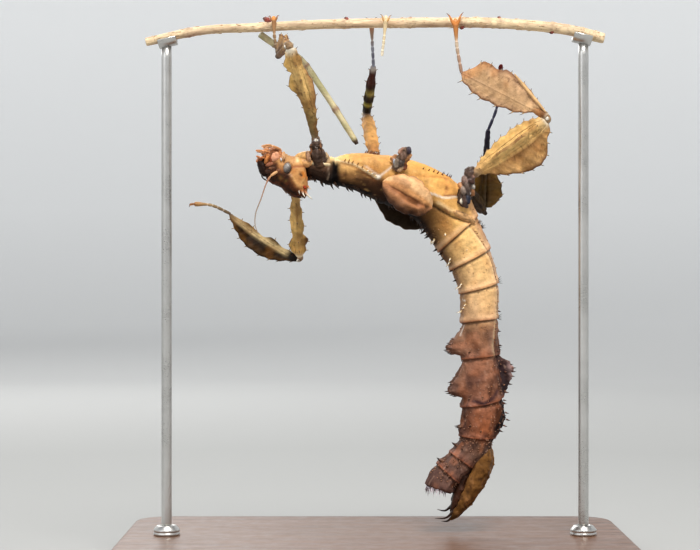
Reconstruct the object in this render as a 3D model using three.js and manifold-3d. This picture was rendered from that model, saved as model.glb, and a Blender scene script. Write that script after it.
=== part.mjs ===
// Giant prickly stick insect, an adult female, hanging belly up from a cut twig on a display stand.
// Millimetres, +Z up, +X towards the tail, -Y on the side of the insect's right legs.
// The origin is the middle of the underside of the stand's base.

import * as THREE from "three";
import { mergeVertices } from "three/addons/utils/BufferGeometryUtils.js";
import Module from "manifold-3d";

const wasm = await Module();
wasm.setup();

// ---------------------------------------------------------------- driving sizes

const GAP = 0.3; // clearance between two parts that meet
const THIN = 0.6; // thickness of a leafy flap

// Trunk stations from the neck to the tip of the tail: where the axis runs and how thick it is.
const trunkStations = [
  { at: [-16.4, -6.3, 94.4], high: 5.0, wide: 5.2 },
  { at: [-10.5, -4.6, 93.2], high: 6.6, wide: 6.8 },
  { at: [-4.1, -2.6, 93.1], high: 9.4, wide: 9.6 },
  { at: [2.9, -0.4, 91.3], high: 11.8, wide: 12.4 },
  { at: [10.8, 1.6, 88.7], high: 13.0, wide: 13.8 },
  { at: [16.4, 2.6, 84.4], high: 13.8, wide: 14.2 },
  { at: [19.9, 3.0, 78.3], high: 12.6, wide: 14.0 },
  { at: [23.2, 3.0, 72.0], high: 11.0, wide: 13.6 },
  { at: [25.2, 3.0, 65.0], high: 9.8, wide: 13.0 },
  { at: [25.4, 3.0, 57.4], high: 9.2, wide: 12.6 },
  { at: [25.6, 3.0, 48.6], high: 9.4, wide: 12.4 },
  { at: [26.1, 3.0, 37.2], high: 10.2, wide: 12.0 },
  { at: [24.6, 3.0, 29.0], high: 8.2, wide: 9.4 },
  { at: [23.9, 3.0, 26.8], high: 7.6, wide: 8.8 },
  { at: [20.9, 3.0, 23.6], high: 7.0, wide: 8.2 },
  { at: [17.6, 3.0, 20.4], high: 6.8, wide: 8.0 },
  { at: [16.2, 3.0, 18.5], high: 7.2, wide: 8.2 },
  { at: [15.6, 3.0, 16.6], high: 7.5, wide: 8.4 },
];

// The plates of the trunk, from one station to another.
const trunkPlates = [
  { name: "prothorax", from: 0, to: 1, flare: 0.1 },
  { name: "mesothorax", from: 1, to: 3, flare: 0 },
  { name: "metathorax", from: 3, to: 5, flare: 0 },
  { name: "abdomen_1", from: 5, to: 6, flare: 0 },
  { name: "abdomen_2", from: 6, to: 7, flare: 0.03, spines: 2.0 },
  { name: "abdomen_3", from: 7, to: 8, flare: 0.04, spines: 1.9 },
  { name: "abdomen_4", from: 8, to: 9, flare: 0.04, spines: 2.2 },
  { name: "abdomen_5", from: 9, to: 10, flare: 0.03, lobe: { from: 0.42, to: 0.97, width: 4.2 } },
  { name: "abdomen_6", from: 10, to: 11, flare: 0.03, lobe: { from: 0.32, to: 0.88, width: 4.0 } },
  { name: "abdomen_7", from: 11, to: 12, flare: 0.04, spines: 1.7 },
  { name: "abdomen_8", from: 12, to: 14, flare: 0.04, spines: 1.8 },
  { name: "abdomen_9", from: 14, to: 15, flare: 0.04, spines: 1.8 },
  { name: "abdomen_10", from: 15, to: 17, flare: 0.05 },
];

// The egg-laying valves between the tail and the plate under it.
const valveStations = [
  { at: [22.6, 3.0, 21.2], high: 1.6, wide: 2.4 },
  { at: [20.0, 3.0, 16.6], high: 2.2, wide: 3.2 },
  { at: [17.6, 3.0, 12.2], high: 1.2, wide: 1.8 },
];

// The keeled plate under the tail, a long scoop that carries the eggs.
const operculumStations = [
  { at: [26.4, 3.0, 27.9], high: 2.6, wide: 5.6 },
  { at: [26.6, 3.0, 23.0], high: 4.4, wide: 7.4 },
  { at: [23.6, 3.0, 17.4], high: 4.2, wide: 6.8 },
  { at: [18.9, 3.0, 10.4], high: 1.6, wide: 2.8 },
];

// Head stations from the mouth to the crown.
const headStations = [
  { at: [-26.0, -7.0, 94.6], high: 4.4, wide: 4.0 },
  { at: [-24.4, -7.0, 94.1], high: 7.0, wide: 5.6 },
  { at: [-21.6, -7.0, 93.0], high: 8.3, wide: 6.6 },
  { at: [-18.8, -7.0, 91.2], high: 7.6, wide: 6.4 },
  { at: [-17.0, -7.0, 88.6], high: 3.6, wide: 4.0 },
];
const EYE_RADIUS = 1.15;
const eyeCentre = { x: -20.9, reach: 2.7, z: 93.6 };

// Perch: a cut length of dry twig, with the places where its bark swells at a node.
const perchPoints = [
  [-55.0, 0, 124.3],
  [-42.0, 0, 127.0],
  [-27.1, 0, 127.9],
  [-10.8, 0, 128.6],
  [6.0, 0, 128.9],
  [20.4, 0, 129.0],
  [30.0, 0, 128.8],
  [45.1, 0, 127.4],
  [55.0, 0, 125.2],
];
const PERCH_RADIUS = { left: 1.15, right: 1.45 };
const perchNodes = [0.1, 0.26, 0.52, 0.75, 0.93];
const twigPoints = [
  [-27.6, 1.6, 126.4],
  [-24.3, 3.4, 124.2],
  [-18.2, 6.0, 121.0],
  [-13.3, 6.5, 114.4],
  [-7.2, 6.0, 105.0],
  [-4.3, 5.5, 100.2],
];
const TWIG_RADIUS = 0.82;

// Stand: a flat base and two rods with saddles under the perch.
const BASE = { long: 122, deep: 76, thick: 6, corner: 9, bevel: 0.8 };
const ROD = { x: 50, radius: 1.25, collar: 3.2, collarHigh: 2.4 };
const SADDLE = { long: 4.5, wall: 0.9 };

// ---------------------------------------------------------------- solids

const vec = (point) => new THREE.Vector3(...point);

function toSolid(geometry) {
  const bare = geometry.clone();
  bare.deleteAttribute("normal");
  bare.deleteAttribute("uv");
  const merged = mergeVertices(bare, 1e-4);
  const source = {
    numProp: 3,
    vertProperties: new Float32Array(merged.attributes.position.array),
    triVerts: new Uint32Array(merged.index.array),
  };
  return new wasm.Manifold(new wasm.Mesh(source));
}

function toMesh(name, solid, material) {
  const { vertProperties, triVerts } = solid.getMesh();
  const geometry = new THREE.BufferGeometry();
  geometry.setAttribute("position", new THREE.BufferAttribute(vertProperties, 3));
  geometry.setIndex(new THREE.BufferAttribute(triVerts, 1));
  geometry.computeVertexNormals();
  const mesh = new THREE.Mesh(geometry, material);
  mesh.name = name;
  return mesh;
}

const join = (solid, others) => others.reduce((whole, other) => whole.add(other), solid);
const carve = (solid, others) => others.reduce((whole, other) => whole.subtract(other), solid);

// A body carried along a path: a closed cylinder whose rings are bent onto the path and given the
// outline of section(u, angle), a radius. Angle 0 points along facing x path, 90 degrees along facing.
function loft({ path, facing, section, sides = 14, rings = 4, from = 0, to = 1 }) {
  const geometry = new THREE.CylinderGeometry(1, 1, 1, sides, rings);
  const points = geometry.attributes.position;
  for (let i = 0; i < points.count; i += 1) {
    const spread = Math.hypot(points.getX(i), points.getZ(i));
    const angle = Math.atan2(points.getX(i), points.getZ(i));
    const u = from + (0.5 - points.getY(i)) * (to - from);
    const along = path.getTangent(u);
    const across = facing.clone().addScaledVector(along, -facing.dot(along)).normalize();
    const over = along.clone().cross(across);
    const radius = spread * section(u, angle);
    const place = path.getPoint(u);
    place.addScaledVector(across, radius * Math.sin(angle));
    place.addScaledVector(over, radius * Math.cos(angle));
    points.setXYZ(i, place.x, place.y, place.z);
  }
  return toSolid(geometry);
}

// Radius at an angle of a rounded box-like oval, high along angle 0 and wide along 90 degrees.
function oval(high, wide, angle, fullness = 2.3) {
  const a = Math.abs(Math.cos(angle) / (high / 2)) ** fullness;
  const b = Math.abs(Math.sin(angle) / (wide / 2)) ** fullness;
  return (a + b) ** (-1 / fullness);
}

function spike(root, outward, length, radius) {
  const cone = new THREE.ConeGeometry(radius, length, 4);
  const sink = length * 0.3;
  cone.translate(0, length / 2 - sink, 0);
  const turn = new THREE.Quaternion().setFromUnitVectors(new THREE.Vector3(0, 1, 0), outward);
  cone.applyQuaternion(turn);
  cone.translate(root.x, root.y, root.z);
  return toSolid(cone);
}

// A flat leafy flap: its root line starts at root and runs along, its free edge stands outward.
function flap({ root, along, outward, length, width, peak, teeth = 0, bite = 0.35, sink = 0.5, grow = 0 }) {
  const steps = Math.max(6, teeth * 2);
  const rise = 1.1;
  const fall = (rise * (1 - peak)) / peak;
  const top = peak ** rise * (1 - peak) ** fall;
  const outline = new THREE.Shape();
  outline.moveTo(0, -sink);
  outline.lineTo(length, -sink);
  for (let i = steps; i >= 0; i -= 1) {
    const s = i / steps;
    const notch = teeth > 0 && i % 2 === 1 ? bite : 0;
    const edge = (width * s ** rise * (1 - s) ** fall) / top;
    outline.lineTo(length * s, Math.max(0.05, edge - notch) + grow);
  }
  const depth = THIN + 2 * grow;
  const sheet = new THREE.ExtrudeGeometry(outline, { depth, bevelEnabled: false });
  sheet.translate(0, 0, -depth / 2);
  const basis = new THREE.Matrix4().makeBasis(along, outward, along.clone().cross(outward));
  sheet.applyMatrix4(basis);
  sheet.translate(root.x, root.y, root.z);
  return toSolid(sheet);
}

// ---------------------------------------------------------------- materials

function finish(color, roughness, metalness = 0) {
  return new THREE.MeshStandardMaterial({ color, roughness, metalness });
}

const finishes = {
  pale: finish(0xd9a566, 0.55),
  rust: finish(0x9a5a35, 0.6),
  brown: finish(0x6b4428, 0.6),
  head: finish(0xc9803f, 0.5),
  wing: finish(0xb0764f, 0.6),
  leaf: finish(0xd2a56e, 0.6),
  dark: finish(0x33261f, 0.35),
  tarsus: finish(0xa9885f, 0.55),
  eye: finish(0x8d8a88, 0.2),
  bark: finish(0xd8b886, 0.75),
  wood: finish(0x4a3526, 0.4),
  steel: finish(0x9a9a98, 0.3, 1),
};

// ---------------------------------------------------------------- trunk and head

const rightSide = new THREE.Vector3(0, -1, 0);

function curveOf(stations) {
  return new THREE.CatmullRomCurve3(stations.map((s) => vec(s.at)), false, "centripetal");
}

function girthOf(stations) {
  const sizes = stations.map((s) => new THREE.Vector3(s.high, s.wide, 0));
  return new THREE.CatmullRomCurve3(sizes, false, "centripetal");
}

const trunkPath = curveOf(trunkStations);
const trunkGirth = girthOf(trunkStations);
const trunkSpans = trunkStations.length - 1;

// One plate of the trunk. It widens a little towards its rear edge, as overlapping plates do.
function trunkPlate(plate, grow = 0) {
  const start = plate.from / trunkSpans;
  const end = plate.to / trunkSpans;
  const mid = (start + end) / 2;
  const length = trunkPath.getPoint(start).distanceTo(trunkPath.getPoint(end));
  const trim = ((GAP / 2 - grow) / length) * (end - start);
  const section = (u, angle) => {
    const size = trunkGirth.getPoint(Math.min(1, Math.max(0, u)));
    const swell = 1 + (plate.flare * (u - mid)) / (end - start);
    return oval(size.x, size.y, angle) * swell + grow;
  };
  const rings = plate.to - plate.from + 1;
  const from = Math.max(0, start + trim);
  const to = Math.min(1, end - trim);
  return loft({ path: trunkPath, facing: rightSide, section, rings, from, to });
}

// A point on the trunk's surface and its outward direction: 0 degrees is the back, 90 the right side.
function onTrunk(station, degrees) {
  const u = station / trunkSpans;
  const angle = THREE.MathUtils.degToRad(degrees);
  const along = trunkPath.getTangent(u);
  const across = rightSide.clone().addScaledVector(along, -rightSide.dot(along)).normalize();
  const over = along.clone().cross(across);
  const size = trunkGirth.getPoint(u);
  const outward = over.multiplyScalar(Math.cos(angle)).addScaledVector(across, Math.sin(angle));
  const place = trunkPath.getPoint(u).addScaledVector(outward, oval(size.x, size.y, angle));
  return { place, outward, along };
}

// A pair of spines that lean tailwards near the rear edge of a plate.
function backSpines(plate) {
  return [-24, 24].map((degrees) => {
    const { place, outward, along } = onTrunk(plate.to - 0.3, degrees);
    const lean = outward.clone().addScaledVector(along, 0.45).normalize();
    return spike(place, lean, plate.spines * 1.4, 0.55);
  });
}

// A pair of leafy lobes near the rear edge of a plate, each with spines along its free edge.
function backLobes(plate) {
  const { from, to, width } = plate.lobe;
  return [-26, 26].map((degrees) => {
    const start = onTrunk(plate.from + from, degrees);
    const end = onTrunk(plate.from + to, degrees);
    const along = end.place.clone().sub(start.place);
    const length = along.length();
    along.normalize();
    const outward = start.outward.clone().addScaledVector(along, -start.outward.dot(along)).normalize();
    const root = start.place;
    return flap({ root, along, outward, length, width, peak: 0.72, teeth: 4, bite: 0.5, sink: 1.4 });
  });
}

// The bristling rear edge of the last plate, over its back half.
function tailFringe() {
  const spikes = [];
  for (let degrees = -80; degrees <= 80; degrees += 20) {
    const { place, outward, along } = onTrunk(trunkSpans - 0.08, degrees);
    place.addScaledVector(outward, -0.35);
    const lean = along.clone().addScaledVector(outward, 0.25).normalize();
    spikes.push(spike(place, lean, 2.2, 0.42));
  }
  return spikes;
}

// The ragged keel that stands out on the belly side of a plate.
function bellyKeel(from, to, width, peak, teeth) {
  const start = onTrunk(from, 180);
  const end = onTrunk(to, 180);
  const along = end.place.clone().sub(start.place);
  const length = along.length();
  along.normalize();
  const outward = start.outward.clone().addScaledVector(along, -start.outward.dot(along)).normalize();
  return flap({ root: start.place, along, outward, length, width, peak, teeth, bite: 0.4, sink: 1.6 });
}

// A smooth body of its own on a few stations.
function blade(stations, sides, rings, grow = 0) {
  const path = curveOf(stations);
  const girth = girthOf(stations);
  const section = (u, angle) => oval(girth.getPoint(u).x, girth.getPoint(u).y, angle, 2) + grow;
  return loft({ path, facing: rightSide, section, sides, rings });
}

const headPath = curveOf(headStations);
const headGirth = girthOf(headStations);

function headBody(grow = 0) {
  const section = (u, angle) => {
    const size = headGirth.getPoint(u);
    return oval(size.x, size.y, angle, 2.1) + grow;
  };
  return loft({ path: headPath, facing: rightSide, section, sides: 12, rings: 7 });
}

function eyeBall(side, grow = 0) {
  const ball = new THREE.SphereGeometry(EYE_RADIUS + grow, 10, 6);
  ball.scale(1, 0.85, 1.1);
  ball.translate(eyeCentre.x, headStations[2].at[1] - side * eyeCentre.reach, eyeCentre.z);
  return toSolid(ball);
}

// The tiara: tubercles round the crown, the long ones at the rear of the head.
function crown() {
  const tail = headPath.getTangent(1);
  const tip = headPath.getPoint(0.97);
  const backwards = tail.clone().cross(rightSide);
  const spikes = [];
  [-1, 1].forEach((side) => {
    [
      { out: 0.9, back: -1.0, long: 3.0, lean: -0.15, thick: 0.6 },
      { out: 1.3, back: 0.1, long: 2.2, lean: 0.1, thick: 0.5 },
      { out: 0.7, back: 1.1, long: 1.8, lean: 0.2, thick: 0.5 },
    ].forEach(({ out, back, long, lean, thick }) => {
      const root = tip.clone().addScaledVector(rightSide, side * out).addScaledVector(backwards, back);
      const aim = tail.clone().addScaledVector(rightSide, side * 0.3).addScaledVector(backwards, lean);
      spikes.push(spike(root, aim.normalize(), long, thick));
    });
  });
  return spikes;
}

// ---------------------------------------------------------------- legs

const facingViewer = new THREE.Vector3(0, -1, 0);

// A straight limb: a tapering shaft with leafy flaps. A flap's turn is its angle round the shaft from
// the facing side, and its start and end are fractions of the shaft's length.
function limb({ from, to, shaft, facing = facingViewer, flaps = [] }, grow = 0) {
  const path = new THREE.LineCurve3(vec(from), vec(to));
  const length = path.getLength();
  const along = path.getTangent(0);
  const across = facing.clone().addScaledVector(along, -facing.dot(along)).normalize();
  const [first, middle, last] = shaft;
  const section = (u) => {
    const ends = Math.min(1, 0.72 + 4 * Math.max(0, Math.min(u, 1 - u)));
    const nearer = THREE.MathUtils.lerp(first, middle, 2 * u);
    const further = THREE.MathUtils.lerp(middle, last, 2 * u - 1);
    return ends * (u < 0.5 ? nearer : further) + grow;
  };
  const trim = (GAP / 2 - grow) / length;
  const body = loft({ path, facing, section, sides: 7, rings: 4, from: trim, to: 1 - trim });
  const sheets = flaps.map(({ turn, start, end, width, peak = 0.55, teeth = 3, bite }) => {
    const outward = across.clone().applyAxisAngle(along, THREE.MathUtils.degToRad(turn));
    const root = path.getPoint(start);
    return flap({ root, along, outward, length: (end - start) * length, width, peak, teeth, bite, grow });
  });
  return join(body, sheets);
}

// A foot of five small joints on a bent line, the last one the largest, with two claws. The claws
// spread along spread and curl towards curl.
function foot({ points, spread, curl, radius = 0.36 }) {
  const path = new THREE.CatmullRomCurve3(points.map(vec), false, "centripetal");
  const facing = vec(spread);
  const section = (u) => {
    const beads = Math.abs(Math.sin(u * Math.PI * 4));
    const last = THREE.MathUtils.smoothstep(u, 0.66, 0.92);
    return radius * (0.78 + 0.34 * beads * (1 - last) + 0.75 * last);
  };
  const length = path.getLength();
  const from = (GAP * 0.6) / length;
  const body = loft({ path, facing, section, sides: 5, rings: 8, from });
  const end = path.getPoint(1);
  const aim = path.getTangent(1);
  const claws = [-1, 1].map((side) => {
    const root = end.clone().addScaledVector(aim, -0.25);
    const elbow = root.clone().addScaledVector(aim, 1.1).addScaledVector(facing, side * 0.8);
    const tip = elbow.clone().addScaledVector(vec(curl), 1.0).addScaledVector(facing, side * 0.45);
    const hook = new THREE.QuadraticBezierCurve3(root, elbow, tip);
    const taper = (u) => 0.36 - 0.1 * u;
    return loft({ path: hook, facing: aim, section: taper, sides: 4, rings: 2 });
  });
  return join(body, claws);
}

const legs = [
  {
    name: "fore_right",
    coxa: { from: [-13.4, -7.2, 94.6], to: [-14.0, -9.1, 99.9], shaft: [1.5, 1.55, 1.25] },
    femur: {
      from: [-14.1, -9.3, 100.4],
      to: [-20.0, -19.0, 121.1],
      shaft: [0.95, 1.5, 1.35],
      flaps: [
        { turn: -95, start: 0.38, end: 0.66, width: 2.9, peak: 0.7, teeth: 3 },
        { turn: -95, start: 0.66, end: 0.93, width: 2.4, peak: 0.5, teeth: 2 },
        { turn: 85, start: 0.16, end: 0.9, width: 3.4, peak: 0.45, teeth: 6, bite: 0.45 },
        { turn: 5, start: 0.3, end: 0.97, width: 1.9, peak: 0.5, teeth: 4, bite: 0.15 },
      ],
    },
    tibia: {
      from: [-20.2, -18.8, 121.4],
      to: [-23.2, -2.9, 120.5],
      shaft: [1.05, 0.9, 0.75],
      facing: new THREE.Vector3(0, 0, 1),
      flaps: [
        { turn: -12, start: 0.1, end: 0.9, width: 4.6, peak: 0.5, teeth: 4 },
        { turn: 14, start: 0.1, end: 0.85, width: 4.2, peak: 0.4, teeth: 4 },
      ],
    },
    foot: {
      points: [[-23.4, -2.9, 120.9], [-24.0, -2.7, 125.0], [-24.2, -2.3, 129.3]],
      spread: [1, 0, 0],
      curl: [0, 0.9, 0.1],
    },
  },
  {
    name: "fore_left",
    coxa: { from: [-14.2, -3.4, 93.0], to: [-18.8, 0.4, 91.9], shaft: [1.4, 1.4, 1.1] },
    femur: {
      from: [-19.4, 0.9, 91.4],
      to: [-18.6, 19.0, 72.9],
      shaft: [0.95, 1.35, 1.3],
      flaps: [
        { turn: 90, start: 0.25, end: 0.62, width: 2.2, peak: 0.6, teeth: 3 },
        { turn: 90, start: 0.62, end: 0.93, width: 2.7, peak: 0.5, teeth: 3 },
        { turn: -85, start: 0.3, end: 0.95, width: 2.4, peak: 0.62, teeth: 5, bite: 0.5 },
        { turn: 0, start: 0.25, end: 0.95, width: 1.8, peak: 0.5, teeth: 3, bite: 0.15 },
      ],
    },
    tibia: {
      from: [-18.9, 19.1, 72.4],
      to: [-35.9, 16.0, 83.6],
      shaft: [1.1, 0.75, 0.65],
      flaps: [
        { turn: -95, start: 0.06, end: 0.98, width: 5.0, peak: 0.5, teeth: 6, bite: 0.3 },
        { turn: 80, start: 0.18, end: 0.58, width: 1.7, peak: 0.45, teeth: 3 },
        { turn: 80, start: 0.58, end: 0.86, width: 1.5, peak: 0.5, teeth: 2 },
      ],
    },
    foot: {
      points: [[-36.2, 15.9, 84.2], [-40.4, 15.4, 85.7], [-44.6, 15.0, 86.0]],
      spread: [0, 1, 0],
      curl: [-0.3, 0, -0.95],
    },
  },
  {
    name: "mid_left",
    coxa: { from: [2.6, 3.4, 94.2], to: [0.3, 6.6, 97.1], shaft: [1.6, 1.55, 1.25] },
    femur: {
      from: [0.0, 7.0, 97.6],
      to: [-1.9, 19.0, 108.4],
      shaft: [1.1, 1.5, 1.3],
      flaps: [
        { turn: -90, start: 0.15, end: 0.95, width: 2.2, peak: 0.6, teeth: 4 },
        { turn: 90, start: 0.15, end: 0.95, width: 2.3, peak: 0.6, teeth: 5 },
      ],
    },
    tibia: {
      from: [-1.9, 18.9, 108.9],
      to: [-0.3, 4.4, 119.0],
      shaft: [1.1, 1.0, 0.75],
      flaps: [
        { turn: -90, start: 0.1, end: 0.85, width: 1.7, peak: 0.4, teeth: 4 },
        { turn: 90, start: 0.1, end: 0.85, width: 1.7, peak: 0.45, teeth: 4 },
      ],
    },
    foot: {
      points: [[-0.3, 4.2, 119.4], [-0.6, 2.9, 123.9], [-0.8, 2.5, 129.3]],
      spread: [1, 0, 0],
      curl: [0, -0.9, 0.2],
    },
  },
  {
    name: "hind_right",
    coxa: { from: [20.3, -1.6, 84.6], to: [22.2, -4.3, 91.2], shaft: [1.9, 1.9, 1.35] },
    femur: {
      from: [22.5, -4.4, 91.8],
      to: [40.6, -6.0, 104.9],
      shaft: [1.25, 2.0, 1.5],
      flaps: [
        { turn: 92, start: 0.06, end: 0.99, width: 8.0, peak: 0.64, teeth: 8, bite: 0.3 },
        { turn: -88, start: 0.04, end: 0.98, width: 4.1, peak: 0.62, teeth: 9, bite: 0.5 },
        { turn: 0, start: 0.1, end: 0.95, width: 2.3, peak: 0.5, teeth: 0 },
      ],
    },
    tibia: {
      from: [40.8, -6.0, 105.8],
      to: [20.6, -3.0, 116.6],
      shaft: [1.3, 1.0, 0.7],
      flaps: [
        { turn: 90, start: 0.06, end: 0.66, width: 5.8, peak: 0.82, teeth: 3, bite: 0.2 },
        { turn: 90, start: 0.55, end: 1.0, width: 5.2, peak: 0.55, teeth: 3, bite: 0.3 },
        { turn: -90, start: 0.06, end: 1.0, width: 4.2, peak: 0.5, teeth: 6, bite: 0.6 },
      ],
    },
    foot: {
      points: [[20.2, -3.0, 117.0], [19.5, -2.8, 123.0], [19.2, -2.5, 129.4]],
      spread: [1, 0, 0],
      curl: [0, 0.6, 0.75],
    },
  },
  {
    name: "hind_left",
    coxa: { from: [19.2, 6.0, 85.0], to: [23.0, 9.4, 88.5], shaft: [1.9, 1.8, 1.3] },
    femur: {
      from: [23.5, 10.0, 88.7],
      to: [27.3, 24.2, 84.9],
      shaft: [1.2, 1.8, 1.4],
      facing: new THREE.Vector3(0, 0, 1),
      flaps: [
        { turn: 140, start: 0.05, end: 0.98, width: 4.4, peak: 0.6, teeth: 6 },
        { turn: -50, start: 0.05, end: 0.98, width: 3.0, peak: 0.6, teeth: 6 },
      ],
    },
    tibia: {
      from: [27.4, 24.6, 85.8],
      to: [27.5, 5.0, 103.6],
      shaft: [1.2, 0.9, 0.6],
      flaps: [
        { turn: -90, start: 0.06, end: 0.66, width: 3.0, peak: 0.4, teeth: 4 },
        { turn: 90, start: 0.02, end: 0.66, width: 5.0, peak: 0.3, teeth: 5 },
      ],
    },
    foot: {
      points: [[27.8, 4.6, 104.2], [29.3, 2.2, 108.4], [30.0, -0.4, 113.0], [30.0, -1.9, 117.8]],
      spread: [0.85, 0, 0.5],
      curl: [0, -0.95, 0],
    },
  },
];

const legFinishes = { coxa: "dark", femur: "leaf", tibia: "leaf", foot: "tarsus" };

// The healed stump of the lost right middle leg: a short collar with a bead of dark scar.
function stump() {
  const collar = limb({ from: [4.9, -5.0, 92.8], to: [7.4, -7.9, 97.0], shaft: [1.6, 1.45, 1.2] });
  const bead = new THREE.SphereGeometry(1.1, 7, 5);
  bead.translate(7.8, -8.3, 97.6);
  return collar.add(toSolid(bead));
}

// ---------------------------------------------------------------- feelers and mouth

function wand(points, radius, rings) {
  const path = new THREE.CatmullRomCurve3(points.map(vec), false, "centripetal");
  const section = (u) => radius * (1 - 0.15 * u);
  return loft({ path, facing: vec([0.1, -1, 0.1]), section, sides: 4, rings });
}

const feelerPoints = {
  right: [
    [-23.4, -10.3, 92.7],
    [-25.0, -11.2, 90.8],
    [-26.8, -12.0, 85.7],
    [-28.1, -11.5, 82.7],
    [-28.2, -11.0, 79.9],
    [-27.6, -10.5, 78.3],
  ],
  left: [
    [-23.4, -3.7, 92.7],
    [-24.2, -1.6, 92.0],
    [-23.4, 3.2, 90.6],
    [-22.3, 7.6, 89.3],
    [-21.6, 11.8, 88.4],
  ],
};

function mouthparts() {
  const lip = new THREE.SphereGeometry(1, 7, 5);
  lip.scale(1.6, 2.0, 2.3);
  lip.translate(-25.3, -7.0, 96.2);
  const palps = [-1, 1].flatMap((side) => {
    const y = (reach) => -7.0 - side * reach;
    return [
      wand([[-25.4, y(1.2), 97.0], [-22.9, y(1.9), 98.0], [-24.8, y(2), 98.8], [-26.9, y(1.7), 98.9]], 0.38, 4),
      wand([[-25.2, y(0.9), 96.8], [-27.0, y(1.1), 97.5], [-28.0, y(1.1), 97.7]], 0.34, 2),
      wand([[-25.2, y(1.3), 96.0], [-27.2, y(1.6), 96.0], [-28.0, y(1.5), 96.7]], 0.34, 2),
    ];
  });
  return join(toSolid(lip), palps);
}

// ---------------------------------------------------------------- wings

// A small leathery wing cover: a flattened, bowed blade from its hinge to its tip.
function wingCover({ points, facing, halfWidth, bow }) {
  const path = new THREE.CatmullRomCurve3(points.map(vec), false, "centripetal");
  const section = (u, angle) => {
    const half = Math.max(0.5, halfWidth * Math.sin(Math.PI * Math.min(0.93, 0.07 + 0.9 * u)) ** 0.55);
    return oval(2 * half, 1.1 + bow * Math.sin(Math.PI * u), angle, 2);
  };
  return loft({ path, facing: vec(facing), section, sides: 10, rings: 7 });
}

const wings = [
  {
    name: "tegmen_right",
    points: [[1.8, -7.4, 90.4], [5.6, -8.6, 88.6], [9.8, -8.4, 86.2], [13.2, -6.4, 84.4]],
    facing: [0.15, -1, 0.1],
    halfWidth: 4.6,
    bow: 0.9,
  },
  {
    name: "tegmen_left",
    points: [[0.4, 6.8, 88.4], [4.0, 8.6, 85.6], [8.2, 9.4, 82.8], [12.4, 8.6, 80.6]],
    facing: [-0.15, 1, -0.2],
    halfWidth: 4.1,
    bow: 0.6,
  },
];

// ---------------------------------------------------------------- perch and stand

const perchPath = new THREE.CatmullRomCurve3(perchPoints.map(vec), false, "centripetal");

function perchBody(grow = 0) {
  const section = (u) => {
    const radius = THREE.MathUtils.lerp(PERCH_RADIUS.left, PERCH_RADIUS.right, u);
    const swell = perchNodes.reduce((sum, node) => sum + Math.exp(-(((u - node) / 0.012) ** 2)), 0);
    return radius + 0.16 * swell + grow;
  };
  return loft({ path: perchPath, facing: rightSide, section, sides: 8, rings: 20 });
}

function sideTwig() {
  const path = new THREE.CatmullRomCurve3(twigPoints.map(vec), false, "centripetal");
  const section = (u) => TWIG_RADIUS * (1.1 - 0.15 * u + 0.2 * Math.exp(-(((u - 0.97) / 0.03) ** 2)));
  return loft({ path, facing: rightSide, section, sides: 6, rings: 8 });
}

// The empty cast skin of a foot, which still clings to the twig.
function castFoot() {
  return foot({
    points: [[1.6, -3.0, 120.6], [2.1, -2.7, 124.6], [2.5, -2.4, 129.2]],
    spread: [1, 0, 0],
    curl: [0, 0.6, 0.6],
    radius: 0.4,
  });
}

function standBase() {
  const x = BASE.long / 2 - BASE.bevel;
  const y = BASE.deep / 2 - BASE.bevel;
  const r = BASE.corner;
  const outline = new THREE.Shape();
  outline.moveTo(-x + r, -y);
  outline.lineTo(x - r, -y);
  outline.absarc(x - r, -y + r, r, -Math.PI / 2, 0);
  outline.absarc(x - r, y - r, r, 0, Math.PI / 2);
  outline.absarc(-x + r, y - r, r, Math.PI / 2, Math.PI);
  outline.absarc(-x + r, -y + r, r, Math.PI, 1.5 * Math.PI);
  const slab = new THREE.ExtrudeGeometry(outline, {
    depth: BASE.thick - 2 * BASE.bevel,
    bevelSize: BASE.bevel,
    bevelThickness: BASE.bevel,
    bevelSegments: 1,
    curveSegments: 4,
  });
  slab.translate(0, 0, BASE.bevel);
  return toSolid(slab);
}

// Height of the twig's axis above a rod.
function perchHeight(x) {
  let low = 0;
  let high = 1;
  for (let i = 0; i < 30; i += 1) {
    const mid = (low + high) / 2;
    if (perchPath.getPoint(mid).x < x) low = mid;
    else high = mid;
  }
  return { height: perchPath.getPoint(low).z, along: perchPath.getTangent(low) };
}

// A rod with a saddle on top: half a short sleeve, in which the twig lies.
function standRod(side) {
  const x = side * ROD.x;
  const { height, along } = perchHeight(x);
  const bore = (side < 0 ? PERCH_RADIUS.left : PERCH_RADIUS.right) + GAP + 0.1;
  const bottom = BASE.thick + GAP;
  const top = height - bore - SADDLE.wall / 2;
  const rod = new THREE.CylinderGeometry(ROD.radius, ROD.radius, top - bottom, 12);
  rod.rotateX(Math.PI / 2);
  rod.rotateZ(0.07);
  rod.translate(x, 0, (top + bottom) / 2);
  const ring = new THREE.Shape();
  ring.absarc(0, 0, bore + SADDLE.wall, 1.05 * Math.PI, 1.95 * Math.PI);
  ring.absarc(0, 0, bore, 1.95 * Math.PI, 1.05 * Math.PI, true);
  const depth = SADDLE.long;
  const trough = new THREE.ExtrudeGeometry(ring, { depth, bevelEnabled: false, curveSegments: 6 });
  trough.translate(0, 0, -SADDLE.long / 2);
  const level = new THREE.Vector3(0, 1, 0);
  const turn = new THREE.Matrix4().makeBasis(level, along.clone().cross(level), along);
  trough.applyMatrix4(turn);
  trough.translate(x, 0, height);
  return toSolid(rod).add(toSolid(trough));
}

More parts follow.
